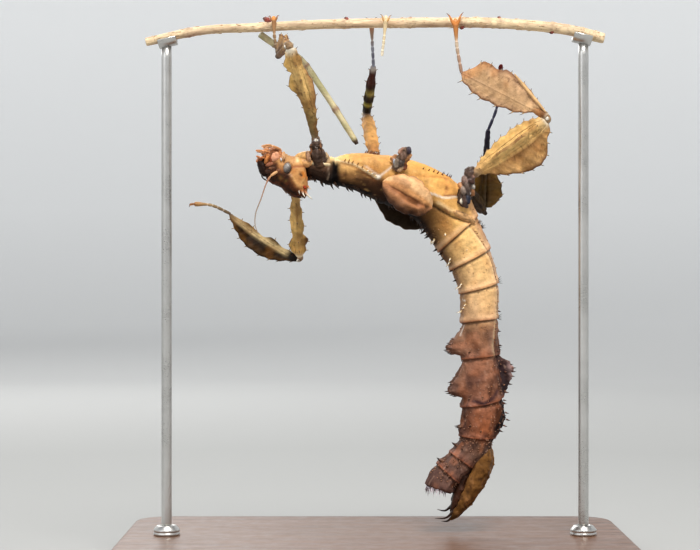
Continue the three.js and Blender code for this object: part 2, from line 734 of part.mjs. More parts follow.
function rodCollar(side) {
  const inner = ROD.radius + GAP;
  const profile = [
    new THREE.Vector2(inner, 0),
    new THREE.Vector2(ROD.collar, 0),
    new THREE.Vector2(ROD.collar, ROD.collarHigh * 0.5),
    new THREE.Vector2(ROD.collar - 0.9, ROD.collarHigh),
    new THREE.Vector2(inner, ROD.collarHigh),
    new THREE.Vector2(inner, 0),
  ];
  const ring = new THREE.LatheGeometry(profile, 12);
  ring.rotateX(Math.PI / 2);
  ring.translate(side * ROD.x, 0, BASE.thick);
  return toSolid(ring);
}

// ---------------------------------------------------------------- assembly

const group = new THREE.Group();

function place(name, solid, material) {
  group.add(toMesh(name, solid, material));
}

const grownTrunk = trunkPlates.map((plate) => trunkPlate(plate, GAP));
const grownHead = headBody(GAP);

place("head", carve(join(headBody(), crown()), [eyeBall(1, GAP), eyeBall(-1, GAP)]), finishes.head);
place("eye_right", eyeBall(1), finishes.eye);
place("eye_left", eyeBall(-1), finishes.eye);
place("mouthparts", carve(mouthparts(), [grownHead]), finishes.head);
["right", "left"].forEach((side) => {
  place(`antenna_${side}`, wand(feelerPoints[side], 0.3, 10), finishes.tarsus);
});

trunkPlates.forEach((plate) => {
  const extras = [];
  if (plate.spines) extras.push(...backSpines(plate));
  if (plate.lobe) extras.push(...backLobes(plate));
  if (plate.name === "abdomen_6") extras.push(bellyKeel(10.05, 10.9, 2.4, 0.3, 4));
  if (plate.name === "abdomen_7") extras.push(bellyKeel(11.08, 11.85, 1.5, 0.3, 3));
  if (plate.name === "abdomen_10") extras.push(...tailFringe());
  const whole = join(trunkPlate(plate), extras);
  const solid = plate.name === "prothorax" ? carve(whole, [grownHead]) : whole;
  const hind = plate.from >= 9 ? finishes.rust : finishes.pale;
  place(plate.name, solid, plate.from < 2 ? finishes.brown : hind);
});
place("operculum", carve(blade(operculumStations, 10, 6), grownTrunk), finishes.leaf);
const roundValves = [...grownTrunk, blade(operculumStations, 10, 6, GAP)];
place("ovipositor", carve(blade(valveStations, 6, 3), roundValves), finishes.dark);

legs.forEach((leg) => {
  ["coxa", "femur", "tibia"].forEach((part) => {
    const neighbours = { coxa: grownTrunk, femur: [], tibia: [limb(leg.femur, GAP)] };
    place(`${leg.name}_${part}`, carve(limb(leg[part]), neighbours[part]), finishes[legFinishes[part]]);
  });
  place(`${leg.name}_foot`, foot(leg.foot), finishes[legFinishes.foot]);
});
place("mid_right_stump", carve(stump(), grownTrunk), finishes.dark);

wings.forEach((wing) => {
  place(wing.name, carve(wingCover(wing), grownTrunk), finishes.wing);
});

place("perch", perchBody(), finishes.bark);
place("perch_twig", carve(sideTwig(), [perchBody(GAP)]), finishes.bark);
place("cast_foot", castFoot(), finishes.bark);
place("stand_base", standBase(), finishes.wood);
place("stand_rod_left", standRod(-1), finishes.steel);
place("stand_rod_right", standRod(1), finishes.steel);
place("stand_collar_left", rodCollar(-1), finishes.steel);
place("stand_collar_right", rodCollar(1), finishes.steel);

export default group;
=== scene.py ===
"""Looks of a giant prickly stick insect that hangs from a twig on a plain display stand.

Each shape is a surface worked out with numpy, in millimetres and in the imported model's frame, and
is turned into metres when its mesh is made. An angle round a body runs from its back (0) over its
right side (90) to its belly (180). Colours are whole numbers, 0xRRGGBB as displayed.
"""

import logging
import math
from dataclasses import dataclass
from enum import Enum
from typing import Sequence

import bpy
import numpy as np
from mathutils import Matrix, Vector


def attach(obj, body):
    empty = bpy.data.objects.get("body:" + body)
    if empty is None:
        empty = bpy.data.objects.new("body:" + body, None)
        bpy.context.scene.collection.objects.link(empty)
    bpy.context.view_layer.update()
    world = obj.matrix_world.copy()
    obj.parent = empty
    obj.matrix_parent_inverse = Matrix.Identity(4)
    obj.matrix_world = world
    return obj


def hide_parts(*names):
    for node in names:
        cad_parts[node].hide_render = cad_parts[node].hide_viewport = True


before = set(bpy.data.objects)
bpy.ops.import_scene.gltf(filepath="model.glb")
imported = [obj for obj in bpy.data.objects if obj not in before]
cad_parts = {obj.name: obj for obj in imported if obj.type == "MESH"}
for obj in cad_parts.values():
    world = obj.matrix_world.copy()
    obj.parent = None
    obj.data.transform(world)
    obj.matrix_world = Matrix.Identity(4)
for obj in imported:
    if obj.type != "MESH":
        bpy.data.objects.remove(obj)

Array = np.ndarray
Tone = int | Array
Point = tuple[float, float, float]
Pitch = float | Sequence[float]
Socket = bpy.types.NodeSocket
MM = 0.001
RIGHT = (0.0, -1.0, 0.0)
FRONT = (0.1, -1, 0.1)  # right, turned a little so that no path here lies along it
log = logging.getLogger("stick_insect")


# ---------------------------------------------------------------- colours and small formulas


def rgb(tone: Tone) -> Array:
    """Linear colour of a display colour 0xRRGGBB; linear colours stay as they are."""
    if isinstance(tone, np.ndarray):
        return tone
    shown = np.array([tone >> 16, tone >> 8 & 255, tone & 255]) / 255
    return np.where(shown <= 0.04045, shown / 12.92, ((shown + 0.055) / 1.055) ** 2.4)


def paint(hue: Tone, *layers: tuple) -> Array:
    """Lays coats of colour over each other, in order.

    Args:
        hue: colour below them all.
        layers: pairs of a tone and how far it covers, from 0 to 1. A tone is a colour, or a factor
            for the colour beneath, or a factor and a rise for it that stop at white.

    Returns:
        The painted colour.
    """
    hue = rgb(hue)
    for tone, amount in layers:
        if isinstance(tone, float):
            over = hue * tone
        elif isinstance(tone, tuple):
            over = np.minimum(hue * tone[0] + tone[1], 1)
        else:
            over = rgb(tone)
        hue = hue + (over - hue) * np.clip(amount, 0, 1)[..., None]
    return hue


def unit(rows: Array) -> Array:
    """Rows scaled to length one."""
    return rows / np.maximum(np.linalg.norm(rows, axis=-1, keepdims=True), 1e-9)


def ramp(value: Array, low: float, high: float) -> Array:
    """0 below low, 1 above high, and a smooth S-curve between them."""
    part = np.clip((value - low) / (high - low), 0, 1)
    return part * part * (3 - 2 * part)


def bell(distance: Array, width: float) -> Array:
    """1 at no distance, falling as the exponential of minus the square of distance over width."""
    return np.exp(-((distance / width) ** 2))


def dome(step: Array, power: float = 2, least: float = 0.02) -> Array:
    """Round-ended swelling over steps from -1 to 1: the root of one minus a power of the step."""
    return np.sqrt(np.clip(1 - np.abs(step) ** power, least, 1))


def closing(place: Array, start: float, reach: float, share: float = 1.0) -> Array:
    """1 up to start, then shrinking by a share like a quarter circle within reach."""
    return np.sqrt(1 - np.clip((place - start) / reach, 0, 1) ** 2 * share)


def circle(count: int) -> Array:
    """Evenly spread angles of one full turn."""
    return np.linspace(0, 2 * np.pi, count, endpoint=False)


def around(across: Array, over: Array, angle: Array | float) -> Array:
    """Direction at an angle from over towards across."""
    return across * np.sin(angle)[..., None] + over * np.cos(angle)[..., None]


def grain(points: Array, pitch: Pitch, seed: int = 0) -> Array:
    """Smooth noise from -1 to 1: a hashed value at each corner of a lattice, blended between corners.

    Args:
        points: places, along the last axis.
        pitch: lattice step, the same or one for each axis.
        seed: picks another pattern.

    Returns:
        One value for each place.
    """
    cell = points / np.asarray(pitch, float) + 1000.5 + 17.3 * seed
    low = np.floor(cell).astype(np.int64)
    part = cell - low
    part = part * part * (3 - 2 * part)
    total = np.zeros(points.shape[:-1])
    for corner in range(8):
        shift = np.array([corner & 1, corner >> 1 & 1, corner >> 2])
        at = low + shift
        mixed = at[..., 0] * 73856093 ^ at[..., 1] * 19349663 ^ at[..., 2] * 83492791
        for factor, shuffle in ((1274126177, 13), (2246822519, 15)):
            mixed = (mixed ^ (mixed >> shuffle)) * factor & 0xFFFFFFFF
        total += np.prod(np.where(shift, part, 1 - part), axis=-1) * (mixed / 0x7FFFFFFF - 1)
    return total


def spots(points: Array, pitch: Pitch, seed: int, low: float, high: float) -> Array:
    """Blotches from 0 to 1, where the grain rises from low to high."""
    return ramp(grain(points, pitch, seed), low, high)


def folds(points: Array, pitch: Pitch, seed: int = 0) -> Array:
    """Crease pattern from 0 to 1, highest along the lines where two layers of noise cross zero."""
    fine = grain(points, np.asarray(pitch, float) * 0.47, seed + 5)
    return (1 - np.abs(grain(points, pitch, seed) + 0.35 * fine)) ** 3


def table(rows: Sequence[tuple[float, float]], at: Array) -> Array:
    """Value read off a short table of (place, value), straight between its rows."""
    return np.interp(at, *zip(*rows))


def hue_table(rows: Sequence[tuple[float, Tone]], at: Array) -> Array:
    """Colour read off a short table of (place, colour), straight between its rows."""
    places, tones = zip(*rows)
    return np.stack([np.interp(at, places, band) for band in np.array([rgb(tone) for tone in tones]).T], -1)


def oval(high: Array | float, wide: Array | float, angle: Array, fullness: float = 2.3) -> Array:
    """Radius of a rounded oval: the two half sizes joined by a power a little above a circle's."""
    upright = np.abs(np.cos(angle) / (high / 2)) ** fullness
    level = np.abs(np.sin(angle) / (wide / 2)) ** fullness
    return (upright + level) ** (-1 / fullness)


def spun(radius: Array, height: Array, sides: int) -> Array:
    """Rings of a profile of radius and height, spun about Z."""
    turn = circle(sides)
    rings = [radius[:, None] * np.cos(turn), radius[:, None] * np.sin(turn), height[:, None] + 0 * turn]
    return np.stack(rings, -1)


def segment_distance(points: Array, route: Sequence[Sequence[float]]) -> Array:
    """Distance from each point to the nearest stretch of a broken line."""
    nearest, route = np.full(points.shape[:-1], np.inf), np.asarray(route, float)
    for start, end in zip(route[:-1], route[1:]):
        step = end - start
        part = np.clip((points - start) @ step / max(step @ step, 1e-9), 0, 1)
        nearest = np.minimum(nearest, np.linalg.norm(points - start - part[..., None] * step, axis=-1))
    return nearest


# ---------------------------------------------------------------- paths and shells


def run(stations: Array, at: Array) -> Array:
    """Centripetal Catmull-Rom curve: a cubic between two stations, whose end slopes come from the
    neighbours, each weighted by the square root of its distance.

    Args:
        stations: rows of values, in order.
        at: where to read it, from 0 to 1, with the stations evenly spread.

    Returns:
        One row for each reading.
    """
    last = len(stations) - 1
    place = np.clip(at, 0, 1) * last
    span = np.minimum(place.astype(int), last - 1)
    part = (place - span)[:, None]
    rows = np.vstack([2 * stations[0] - stations[1], stations, 2 * stations[-1] - stations[-2]])
    a, b, c, d = (rows[span + k] for k in range(4))
    before, here, after = (
        np.sqrt(np.maximum(np.linalg.norm(q - p, axis=1), 1e-6))[:, None] for p, q in ((a, b), (b, c), (c, d))
    )
    leave = ((b - a) / before - (c - a) / (before + here) + (c - b) / here) * here
    enter = ((c - b) / here - (d - b) / (here + after) + (d - c) / after) * here
    square, cube = part**2, part**3
    return (
        (2 * cube - 3 * square + 1) * b + (cube - 2 * square + part) * leave
        + (3 * square - 2 * cube) * c + (cube - square) * enter
    )


@dataclass
class Rail:
    """A path with a frame at each reading: along it, across towards a facing side, and over."""

    stations: Array
    facing: Point

    def __post_init__(self) -> None:
        """Turns the stations into rows of numbers."""
        self.stations = np.array(self.stations, float)

    def at(self, where: Array) -> tuple[Array, Array, Array, Array]:
        """Centre, along, across and over at places from 0 to 1.

        Across is the facing side with its part along the path taken out, and over is along x across.
        """
        centre = run(self.stations, where)
        ahead, behind = (run(self.stations, np.clip(where + step, 0, 1)) for step in (1e-4, -1e-4))
        along = unit(ahead - behind)
        side = np.asarray(self.facing, float)
        across = unit(side - along * (along @ side)[:, None])
        return centre, along, across, np.cross(along, across)

    def frame(self, place: float) -> tuple[Array, ...]:
        """Centre, along, across and over at one place."""
        return tuple(row[0] for row in self.at(np.array([place])))

    def length(self) -> float:
        """Length of the path, as the sum of many short chords."""
        line = run(self.stations, np.linspace(0, 1, 200))
        return float(np.linalg.norm(np.diff(line, axis=0), axis=1).sum())


def weave(rings: int, sides: int, loop: bool = False) -> Array:
    """Quads that join each ring of a grid to the next one, and the last to the first in a loop."""
    start, side = np.meshgrid(np.arange(rings - (not loop)) * sides, np.arange(sides), indexing="ij")
    near, far = (start + side).ravel(), (start + (side + 1) % sides).ravel()
    return np.stack([near, near + sides, far + sides, far], 1) % (rings * sides)


def closed(rings: int, sides: int) -> tuple[Array, Array]:
    """Quads between the rings of a grid, and triangles from its end rings to two poles after it."""
    edge, rear, pole = np.arange(sides), (rings - 1) * sides, np.full(sides, rings * sides)
    after = (edge + 1) % sides
    front, back = np.stack([pole, edge, after], 1), np.stack([pole + 1, after + rear, edge + rear], 1)
    return weave(rings, sides), np.vstack([front, back])


@dataclass
class Shell:
    """A closed surface and what is painted on its corners.

    Attributes:
        points: corner places.
        quads: corners of the four-sided faces, turning outwards.
        tris: corners of the three-sided faces, turning outwards.
        tint: linear colour of each corner.
        gloss: roughness of each corner.
    """

    points: Array
    quads: Array
    tris: Array
    tint: Array
    gloss: Array

    @classmethod
    def wrap(cls, grid: Array, tint: Tone, gloss: Array | float = 0.5) -> "Shell":
        """Closes a grid of rings: each ring joins the next one, and a pole closes each end.

        Args:
            grid: places, ring by ring, each ring turning from over towards across.
            tint: one colour, or one for each place.
            gloss: one roughness, or one for each place.

        Returns:
            The closed shell.
        """
        tints, rough = np.broadcast_to(rgb(tint), grid.shape), np.broadcast_to(gloss, grid.shape[:2])
        ends = [0, -1]
        return cls(
            np.vstack([grid.reshape(-1, 3), grid[ends].mean(1)]), *closed(*grid.shape[:2]),
            np.vstack([tints.reshape(-1, 3), tints[ends].mean(1)]),
            np.concatenate([rough.ravel(), rough[ends].mean(1)]),
        )

    @classmethod
    def join(cls, shells: Sequence["Shell"]) -> "Shell":
        """Several shells as one, each kept whole."""
        starts = np.cumsum([0] + [len(shell.points) for shell in shells[:-1]])
        parts = [
            (shell.points, shell.quads + start, shell.tris + start, shell.tint, shell.gloss)
            for shell, start in zip(shells, starts)
        ]
        return cls(*(np.concatenate(rows) for rows in zip(*parts)))

    def count(self) -> int:
        """Number of triangles."""
        return 2 * len(self.quads) + len(self.tris)


def tube(rail: Rail, rings: int, sides: int, radius: Array, tint: Tone, gloss: Array | float = 0.5) -> Shell:
    """A closed tube round a rail: each ring is a circle of its own radius.

    Args:
        rail: path to follow.
        rings: rings along it.
        sides: corners round it.
        radius: radius of each ring, or of each corner of each ring.
        tint: one colour, or one for each place.
        gloss: one roughness, or one for each place.

    Returns:
        The closed tube.
    """
    centre, _, across, over = rail.at(np.linspace(0, 1, rings))
    reach, turn = np.reshape(radius, (rings, -1, 1)), circle(sides)[:, None]
    grid = centre[:, None] + across[:, None] * (reach * np.sin(turn)) + over[:, None] * (reach * np.cos(turn))
    return Shell.wrap(grid, tint, gloss)


def lump(
    start: Sequence[float], end: Sequence[float], radius: float, hue: int,
    gloss: float = 0.4, seed: int = 1, corners: int = 14,
) -> Shell:
    """A long rounded lump: a line whose radius swells from nothing, roughened, with painted shade in its
    sunken creases.

    Args:
        start: one end.
        end: the other end.
        radius: largest radius.
        hue: colour.
        gloss: roughness.
        seed: picks another pattern.
        corners: rings along it and corners round it.

    Returns:
        The closed lump.
    """
    start, end = np.asarray(start, float), np.asarray(end, float)
    way = unit(end - start)
    facing = (1.0, 0.0, 0.2) if abs(way[1]) > 0.75 else FRONT
    step = np.sin(np.linspace(-np.pi / 2, np.pi / 2, corners))
    size = radius * dome(step, 2.4, 0.002)
    stops = start + (end - start) * (0.5 + 0.5 * step)[:, None]
    over = np.cross(way, unit(np.array(facing) - way * (way @ facing)))
    out = around(np.cross(over, way), over, circle(corners))
    bare = stops[:, None] + out * size[:, None, None]
    crease = folds(bare, 0.9, seed)
    rise = 0.1 * radius * grain(bare, 0.55, seed) - 0.1 * radius * crease
    light = spots(bare, 0.8, seed + 3, 0.1, 0.7)
    # Darker in the sunken creases: painted shade.
    tint = paint(hue, (0.35, 0.75 * ramp(crease, 0.35, 0.9)), ((1.35, 0.02), 0.5 * light))
    return Shell.wrap(bare + out * (rise * (size / radius)[:, None])[..., None], tint, gloss)


def spines(
    roots: Array, aims: Array, lengths: Array | float, radii: Array | float, foot: Tone, tip: Tone,
    hook: float = 0.25, gloss: float = 0.3,
) -> Shell:
    """Many curved cones at once.

    Each spine is rings of shrinking radius on a line that bends towards hook times its length, ends
    in a point and has a closed foot sunk below its root.

    Args:
        roots: where each spine stands.
        aims: unit direction of each spine.
        lengths: length of each spine, or of all.
        radii: radius at each root, or at all.
        foot: colour at the root, one or one each.
        tip: colour at the tip, one or one each.
        hook: bend, as a share of the length.
        gloss: roughness.

    Returns:
        All spines as one shell.
    """
    sides, levels, width = 6, np.array([-0.25, 0.12, 0.45, 0.75]), np.array([1.15, 1.0, 0.62, 0.3])
    count = len(roots)
    long, radii = (np.broadcast_to(row, count)[:, None] for row in (lengths, radii))
    helper = np.where(np.abs(aims[:, 2:]) < 0.8, [[0.0, 0.0, 1.0]], [[1.0, 0.0, 0.0]])
    across = unit(np.cross(aims, helper))
    over = np.cross(aims, across)
    ring = around(across[:, None], over[:, None], circle(sides))
    bend = hook * np.maximum(levels, 0) ** 2
    way = aims[:, None] * levels[:, None] - over[:, None] * bend[:, None]
    line = roots[:, None] + long[..., None] * way
    body = line[:, :, None] + ring[:, None] * (radii[..., None, None] * width[:, None, None])
    point, sunk = roots + long * (aims - hook * over), roots - 0.25 * long * aims
    points = np.concatenate([body.reshape(count, -1, 3), sunk[:, None], point[:, None]], 1)
    each = points.shape[1]
    shift = (np.arange(count) * each)[:, None, None]
    quads, tris = ((face + shift).reshape(-1, face.shape[1]) for face in closed(len(levels), sides))
    rise = np.append(np.repeat(np.clip(levels, 0, 1), sides), [0, 1])
    first, last = (np.broadcast_to(rgb(hue), (count, 3))[:, None] for hue in (foot, tip))
    tint = first + (last - first) * ramp(rise, 0.1, 0.6)[:, None]
    return Shell(points.reshape(-1, 3), quads, tris, tint.reshape(-1, 3), np.full(count * each, gloss))


# ---------------------------------------------------------------- finishes


class Slot(Enum):
    """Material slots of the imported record."""

    BODY = "body_skin"
    DARK = "dark_cuticle"
    FOOT = "foot"
    WING = "wing_cover"
    SCOOP = "belly_scoop"
    EYE = "eye"
    TWIG = "twig"
    CAST = "cast_skin"
    WOOD = "stand_wood"
    STEEL = "stand_steel"


class Graph:
    """A node material in the making."""

    def __init__(self, name: str) -> None:
        """Starts a material that has only its shader."""
        self.material = bpy.data.materials.new(name)
        self.material.use_nodes = True
        self.tree = self.material.node_tree
        self.shader = self.tree.nodes["Principled BSDF"]

    def feed(self, socket: Socket, value: object) -> None:
        """Sets a socket to a constant or a colour 0xRRGGBB, or links it to another socket."""
        if isinstance(value, Socket):
            self.tree.links.new(value, socket)
        elif socket.type == "RGBA" and isinstance(value, int):
            socket.default_value = (*rgb(value), 1)
        else:
            socket.default_value = value

    def add(self, kind: str, sockets: dict, out: int | str = 0, **settings: object) -> Socket:
        """Adds a node.

        Args:
            kind: node type without its ShaderNode prefix.
            sockets: input name or number to its value or to the socket that feeds it.
            out: output to return.
            settings: the node's own options.

        Returns:
            The chosen output.
        """
        node = self.tree.nodes.new("ShaderNode" + kind)
        for key, value in settings.items():
            setattr(node, key, value)
        for key, value in sockets.items():
            self.feed(node.inputs[key], value)
        return node.outputs[out]

    def place(self) -> Socket:
        """Object coordinates."""
        return self.add("TexCoord", {}, "Object")

    def painted(self, name: str) -> Socket:
        """What is painted on the corners under a name."""
        return self.add("Attribute", {}, "Color" if name == "tint" else "Fac", attribute_name=name)

    def noise(self, scale: float, detail: float = 3.0, stretch: Sequence[float] = (1, 1, 1)) -> Socket:
        """Noise from 0 to 1 on Object coordinates, with scale in waves per metre."""
        vector = self.add("Mapping", {"Vector": self.place(), "Scale": tuple(stretch)})
        rows = {"Vector": vector, "Scale": scale, "Detail": detail, "Roughness": 0.6}
        return self.add("TexNoise", rows, "Fac")

    def span(self, value: object, low: float, high: float, first: float, last: float) -> Socket:
        """Value moved from the range low to high onto the range first to last, and held there."""
        rows = {"Value": value, "From Min": low, "From Max": high, "To Min": first, "To Max": last}
        return self.add("MapRange", rows)

    def sum(self, one: object, other: object, operation: str = "ADD") -> Socket:
        """Two values combined."""
        return self.add("Math", {0: one, 1: other}, operation=operation)

    def tone(self, amount: object, under: object, over: object, how: str = "MIX") -> Socket:
        """Two colours mixed by amount."""
        return self.add("Mix", {0: amount, 6: under, 7: over}, 2, data_type="RGBA", blend_type=how)

    def bump(self, height: object, depth: float, strength: float = 1.0) -> None:
        """Gives the shader a bump of a depth in metres."""
        normal = self.add("Bump", {"Height": height, "Distance": depth, "Strength": strength})
        self.feed(self.shader.inputs["Normal"], normal)

    def set(self, **sockets: object) -> None:
        """Sets or links sockets of the shader, with _ for a space in a name."""
        for key, value in sockets.items():
            self.feed(self.shader.inputs[key.replace("_", " ")], value)


@dataclass(frozen=True)
class Cuticle:
    """Insect skin: the painted tint, mottled and speckled, over fine wrinkles and pits.

    Attributes:
        name: of the material.
        grit: depth of the fine relief, in metres.
        coat: weight of the waxy gloss.
        mottle: how far the tint swings lighter and darker.
    """

    name: str
    grit: float = 0.00006
    coat: float = 0.015
    mottle: float = 0.22

    def make(self) -> bpy.types.Material:
        """Builds the material."""
        g = Graph(self.name)
        tint, gloss = g.painted("tint"), g.painted("gloss")
        broad, fine = g.noise(520, 4), g.noise(2600, 3)
        swing = g.span(broad, 0.3, 0.7, 1 - self.mottle, 1 + self.mottle)
        light = g.add("CombineColor", {0: swing, 1: swing, 2: swing})
        mottled = g.tone(1.0, tint, light, "MULTIPLY")
        specks = g.span(g.noise(1500, 2), 0.62, 0.72, 0, 0.25)
        speckled = g.tone(specks, mottled, g.tone(1.0, mottled, (0.45, 0.36, 0.3, 1), "MULTIPLY"))
        cells = g.add("TexVoronoi", {"Vector": g.place(), "Scale": 2200.0}, "Distance")
        relief = g.sum(g.sum(broad, 0.5, "MULTIPLY"), g.sum(g.sum(fine, 0.5, "MULTIPLY"), cells))
        g.bump(relief, self.grit)
        rough = g.sum(gloss, g.span(fine, 0.3, 0.7, -0.08, 0.08))
        g.set(Base_Color=speckled, Roughness=rough, Specular_IOR_Level=0.1)
        g.set(Coat_Weight=self.coat, Coat_Roughness=0.35)
        return g.material


@dataclass(frozen=True)
class EyeGloss:
    """Compound eye: fine domed facets under a clear gloss."""

    name: str

    def make(self) -> bpy.types.Material:
        """Builds the material."""
        g = Graph(self.name)
        tint = g.painted("tint")
        dots = g.span(g.noise(3800, 2), 0.5, 0.66, 0, 0.4)
        cells = g.add("TexVoronoi", {"Vector": g.place(), "Scale": 9500.0, "Randomness": 0.2}, "Distance")
        g.bump(g.sum(1.0, cells, "SUBTRACT"), 0.00003, 0.7)
        g.set(Base_Color=g.tone(dots, tint, (0.05, 0.04, 0.035, 1)), Roughness=g.span(cells, 0, 1, 0.18, 0.3))
        g.set(Coat_Weight=0.5, Coat_Roughness=0.1)
        return g.material


@dataclass(frozen=True)
class Bark:
    """Dry twig: the painted tint with fibres along X, specks and peeling grey skin."""

    name: str
    stretch: Point = (0.12, 1.0, 1.0)

    def make(self) -> bpy.types.Material:
        """Builds the material."""
        g = Graph(self.name)
        tint, gloss = g.painted("tint"), g.painted("gloss")
        fibre, patch = g.noise(2600, 4, self.stretch), g.noise(420, 3, (0.5, 1, 1))
        streaks = g.span(fibre, 0.45, 0.7, 0, 0.3)
        streaked = g.tone(streaks, tint, g.tone(1.0, tint, (0.5, 0.38, 0.3, 1), "MULTIPLY"))
        grey = g.tone(g.span(patch, 0.6, 0.75, 0, 0.25), streaked, (0.42, 0.36, 0.29, 1))
        dots = g.span(g.noise(1900, 1), 0.68, 0.74, 0, 0.65)
        g.bump(g.sum(fibre, g.sum(patch, 0.6, "MULTIPLY")), 0.00007)
        g.set(Base_Color=g.tone(dots, grey, (0.09, 0.05, 0.035, 1)))
        g.set(Roughness=g.sum(gloss, g.span(fibre, 0.3, 0.7, -0.1, 0.1)))
        return g.material


@dataclass(frozen=True)
class OiledWood:
    """Dark oiled hardwood with its grain along X: growth rings, pores and a soft gloss."""

    name: str

    def make(self) -> bpy.types.Material:
        """Builds the material."""
        g = Graph(self.name)
        warp = g.noise(14, 3, (0.25, 1, 1))
        across = g.add("SeparateXYZ", {0: g.place()}, 1)
        phase = g.sum(g.sum(across, 900.0, "MULTIPLY"), g.sum(warp, 22.0, "MULTIPLY"))
        bands = g.span(g.add("Math", {0: phase}, operation="SINE"), -1, 1, 0, 1)
        base = g.tone(bands, 0x5E3E29, 0x704C32)
        pores = g.span(g.noise(900, 2, (0.05, 1, 1)), 0.56, 0.66, 0, 0.7)
        dark = g.tone(pores, base, 0x321F15)
        cloud = g.span(g.noise(30, 2), 0.3, 0.7, 0.0, 0.35)
        tinted = g.tone(cloud, dark, 0x68422A)
        g.bump(g.sum(g.sum(bands, 0.35, "MULTIPLY"), pores, "SUBTRACT"), 0.00006)
        g.set(Base_Color=tinted, Roughness=g.span(g.noise(260, 3), 0.3, 0.7, 0.34, 0.48))
        g.set(Coat_Weight=0.2, Coat_Roughness=0.25)
        return g.material


@dataclass(frozen=True)
class BrushedSteel:
    """Brushed stainless steel, with fine marks round the rods and faint smudges."""

    name: str

    def make(self) -> bpy.types.Material:
        """Builds the material."""
        g = Graph(self.name)
        marks, smudge = g.noise(5200, 2, (0.4, 0.4, 1.0)), g.noise(110, 3)
        hue = g.tone(g.span(smudge, 0.3, 0.7, 0, 1), (0.50, 0.49, 0.47, 1), (0.62, 0.61, 0.59, 1))
        g.bump(marks, 0.00001, 0.6)
        rough = g.sum(g.span(marks, 0.3, 0.7, 0.24, 0.36), g.span(smudge, 0.4, 0.7, 0, 0.08))
        g.set(Base_Color=hue, Metallic=1.0, Roughness=rough)
        return g.material


def show(name: str, mesh: bpy.types.Mesh, material: bpy.types.Material) -> bpy.types.Object:
    """Puts a smooth mesh with its material into the scene."""
    mesh.shade_smooth()
    mesh.materials.append(material)
    thing = bpy.data.objects.new(name, mesh)
    bpy.context.scene.collection.objects.link(thing)
    return thing


def piece(name: str, shell: Shell, material: bpy.types.Material, slot: Slot, *nodes: str) -> None:
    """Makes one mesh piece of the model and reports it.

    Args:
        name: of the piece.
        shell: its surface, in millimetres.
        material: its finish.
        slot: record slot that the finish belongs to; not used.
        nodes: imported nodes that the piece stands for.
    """
    mesh = bpy.data.meshes.new(name)
    mesh.from_pydata((shell.points * MM).tolist(), [], shell.quads.tolist() + shell.tris.tolist())
    tint = mesh.attributes.new("tint", "FLOAT_COLOR", "POINT")
    opaque = np.column_stack([np.clip(shell.tint, 0, 1), np.ones(len(shell.tint))])
    tint.data.foreach_set("color", opaque.ravel())
    gloss = mesh.attributes.new("gloss", "FLOAT", "POINT")
    gloss.data.foreach_set("value", shell.gloss)
    thing = show(name, mesh, material)
    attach(thing, "root")
    if nodes:
        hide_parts(*nodes)
    log.info("%s: %d triangles", name, shell.count())


# ---------------------------------------------------------------- trunk


@dataclass(frozen=True)
class Mark:
    """A line painted and raised on the trunk, the same on both sides.

    Attributes:
        route: (station, angle) pairs.
        hue: its colour.
        width: half width in millimetres.
        strength: how far the colour covers.
        height: how far the line stands out, or sinks if it is negative.
    """

    route: tuple[tuple[float, float], ...]
    hue: int
    width: float
    strength: float = 1.0
    height: float = 0.0


# Stations of the trunk: X, Y, Z, height and width.
TRUNK = np.array(
    [
        [-16.4, -6.3, 94.4, 5.0, 5.2], [-10.5, -4.6, 93.2, 6.6, 6.8], [-4.1, -2.6, 93.1, 9.4, 9.6],
        [2.9, -0.4, 91.3, 11.8, 12.4], [10.8, 1.6, 88.7, 13.0, 13.8], [16.4, 2.6, 84.4, 13.8, 14.2],
        [19.9, 3.0, 78.3, 12.6, 14.0], [23.2, 3.0, 72.0, 11.0, 13.6], [25.2, 3.0, 65.0, 9.8, 13.0],
        [25.4, 3.0, 57.4, 9.2, 12.6], [25.6, 3.0, 48.6, 9.4, 12.4], [26.1, 3.0, 37.2, 10.2, 12.0],
        [24.6, 3.0, 29.0, 8.2, 9.4], [23.9, 3.0, 26.8, 7.6, 8.8], [20.9, 3.0, 23.6, 7.0, 8.2],
        [17.6, 3.0, 20.4, 6.8, 8.0], [16.2, 3.0, 18.5, 7.2, 8.2], [15.6, 3.0, 16.6, 7.5, 8.4],
    ],
)
# Base colour down the trunk: station, then back, flank, side and belly. The back faces down: on the thorax it
# is near black, partly its own dark brown and partly painted shade, and the flank and side colours there are
# lightened, as painted light that offsets the shade falling on them.
TRUNK_HUES = (
    (0.0, 0x20120C, 0x301F15, 0x4E3423, 0xECB870),
    (0.75, 0x1C100B, 0x322218, 0x5E422F, 0xF0C076),
    (0.95, 0x0A0605, 0x0C0806, 0x120C09, 0xF0CE96),
    (1.08, 0x0A0605, 0x0C0806, 0x100B08, 0xF0CE96),
    (1.25, 0x100A08, 0x6E4C2C, 0xC49458, 0xF0C882),
    (1.45, 0x120B08, 0x865E36, 0xD4A260, 0xE4B66E),
    (2.3, 0x0E0907, 0x4C301C, 0xBE884C, 0xD4A062),
    (3.0, 0x120B08, 0x382214, 0xD69E58, 0xD8A25A),
    (4.0, 0x120B08, 0x3C2616, 0xDEA860, 0xE4AA5A),
    (4.9, 0x1E120C, 0x845C30, 0xD8A25C, 0xE2A860),
    (5.5, 0x2C1C11, 0xAA7A44, 0xEAB66C, 0xD49E6A),
    (6.5, 0x604228, 0xDAAC6E, 0xF0C482, 0xC89C76),
    (8.5, 0xA07A56, 0xE4B886, 0xEABA82, 0xCCA684),
    (9.3, 0x7C5842, 0x8A6248, 0x8E6449, 0x805C4A),
    (10.2, 0x7E5844, 0x96644C, 0xA06C52, 0x362426),
    (11.0, 0x5C3E32, 0x865642, 0x986248, 0x1C1214),
    (11.7, 0x603E2E, 0x8C563C, 0xB46840, 0x1A1111),
    (12.5, 0x50382E, 0x62463A, 0x6A4C3C, 0x50382A),
    (14.5, 0x543C34, 0x684C42, 0x6C4E42, 0x4A342C),
    (17.0, 0x563C36, 0x60443C, 0x62463E, 0x4A322C),
)
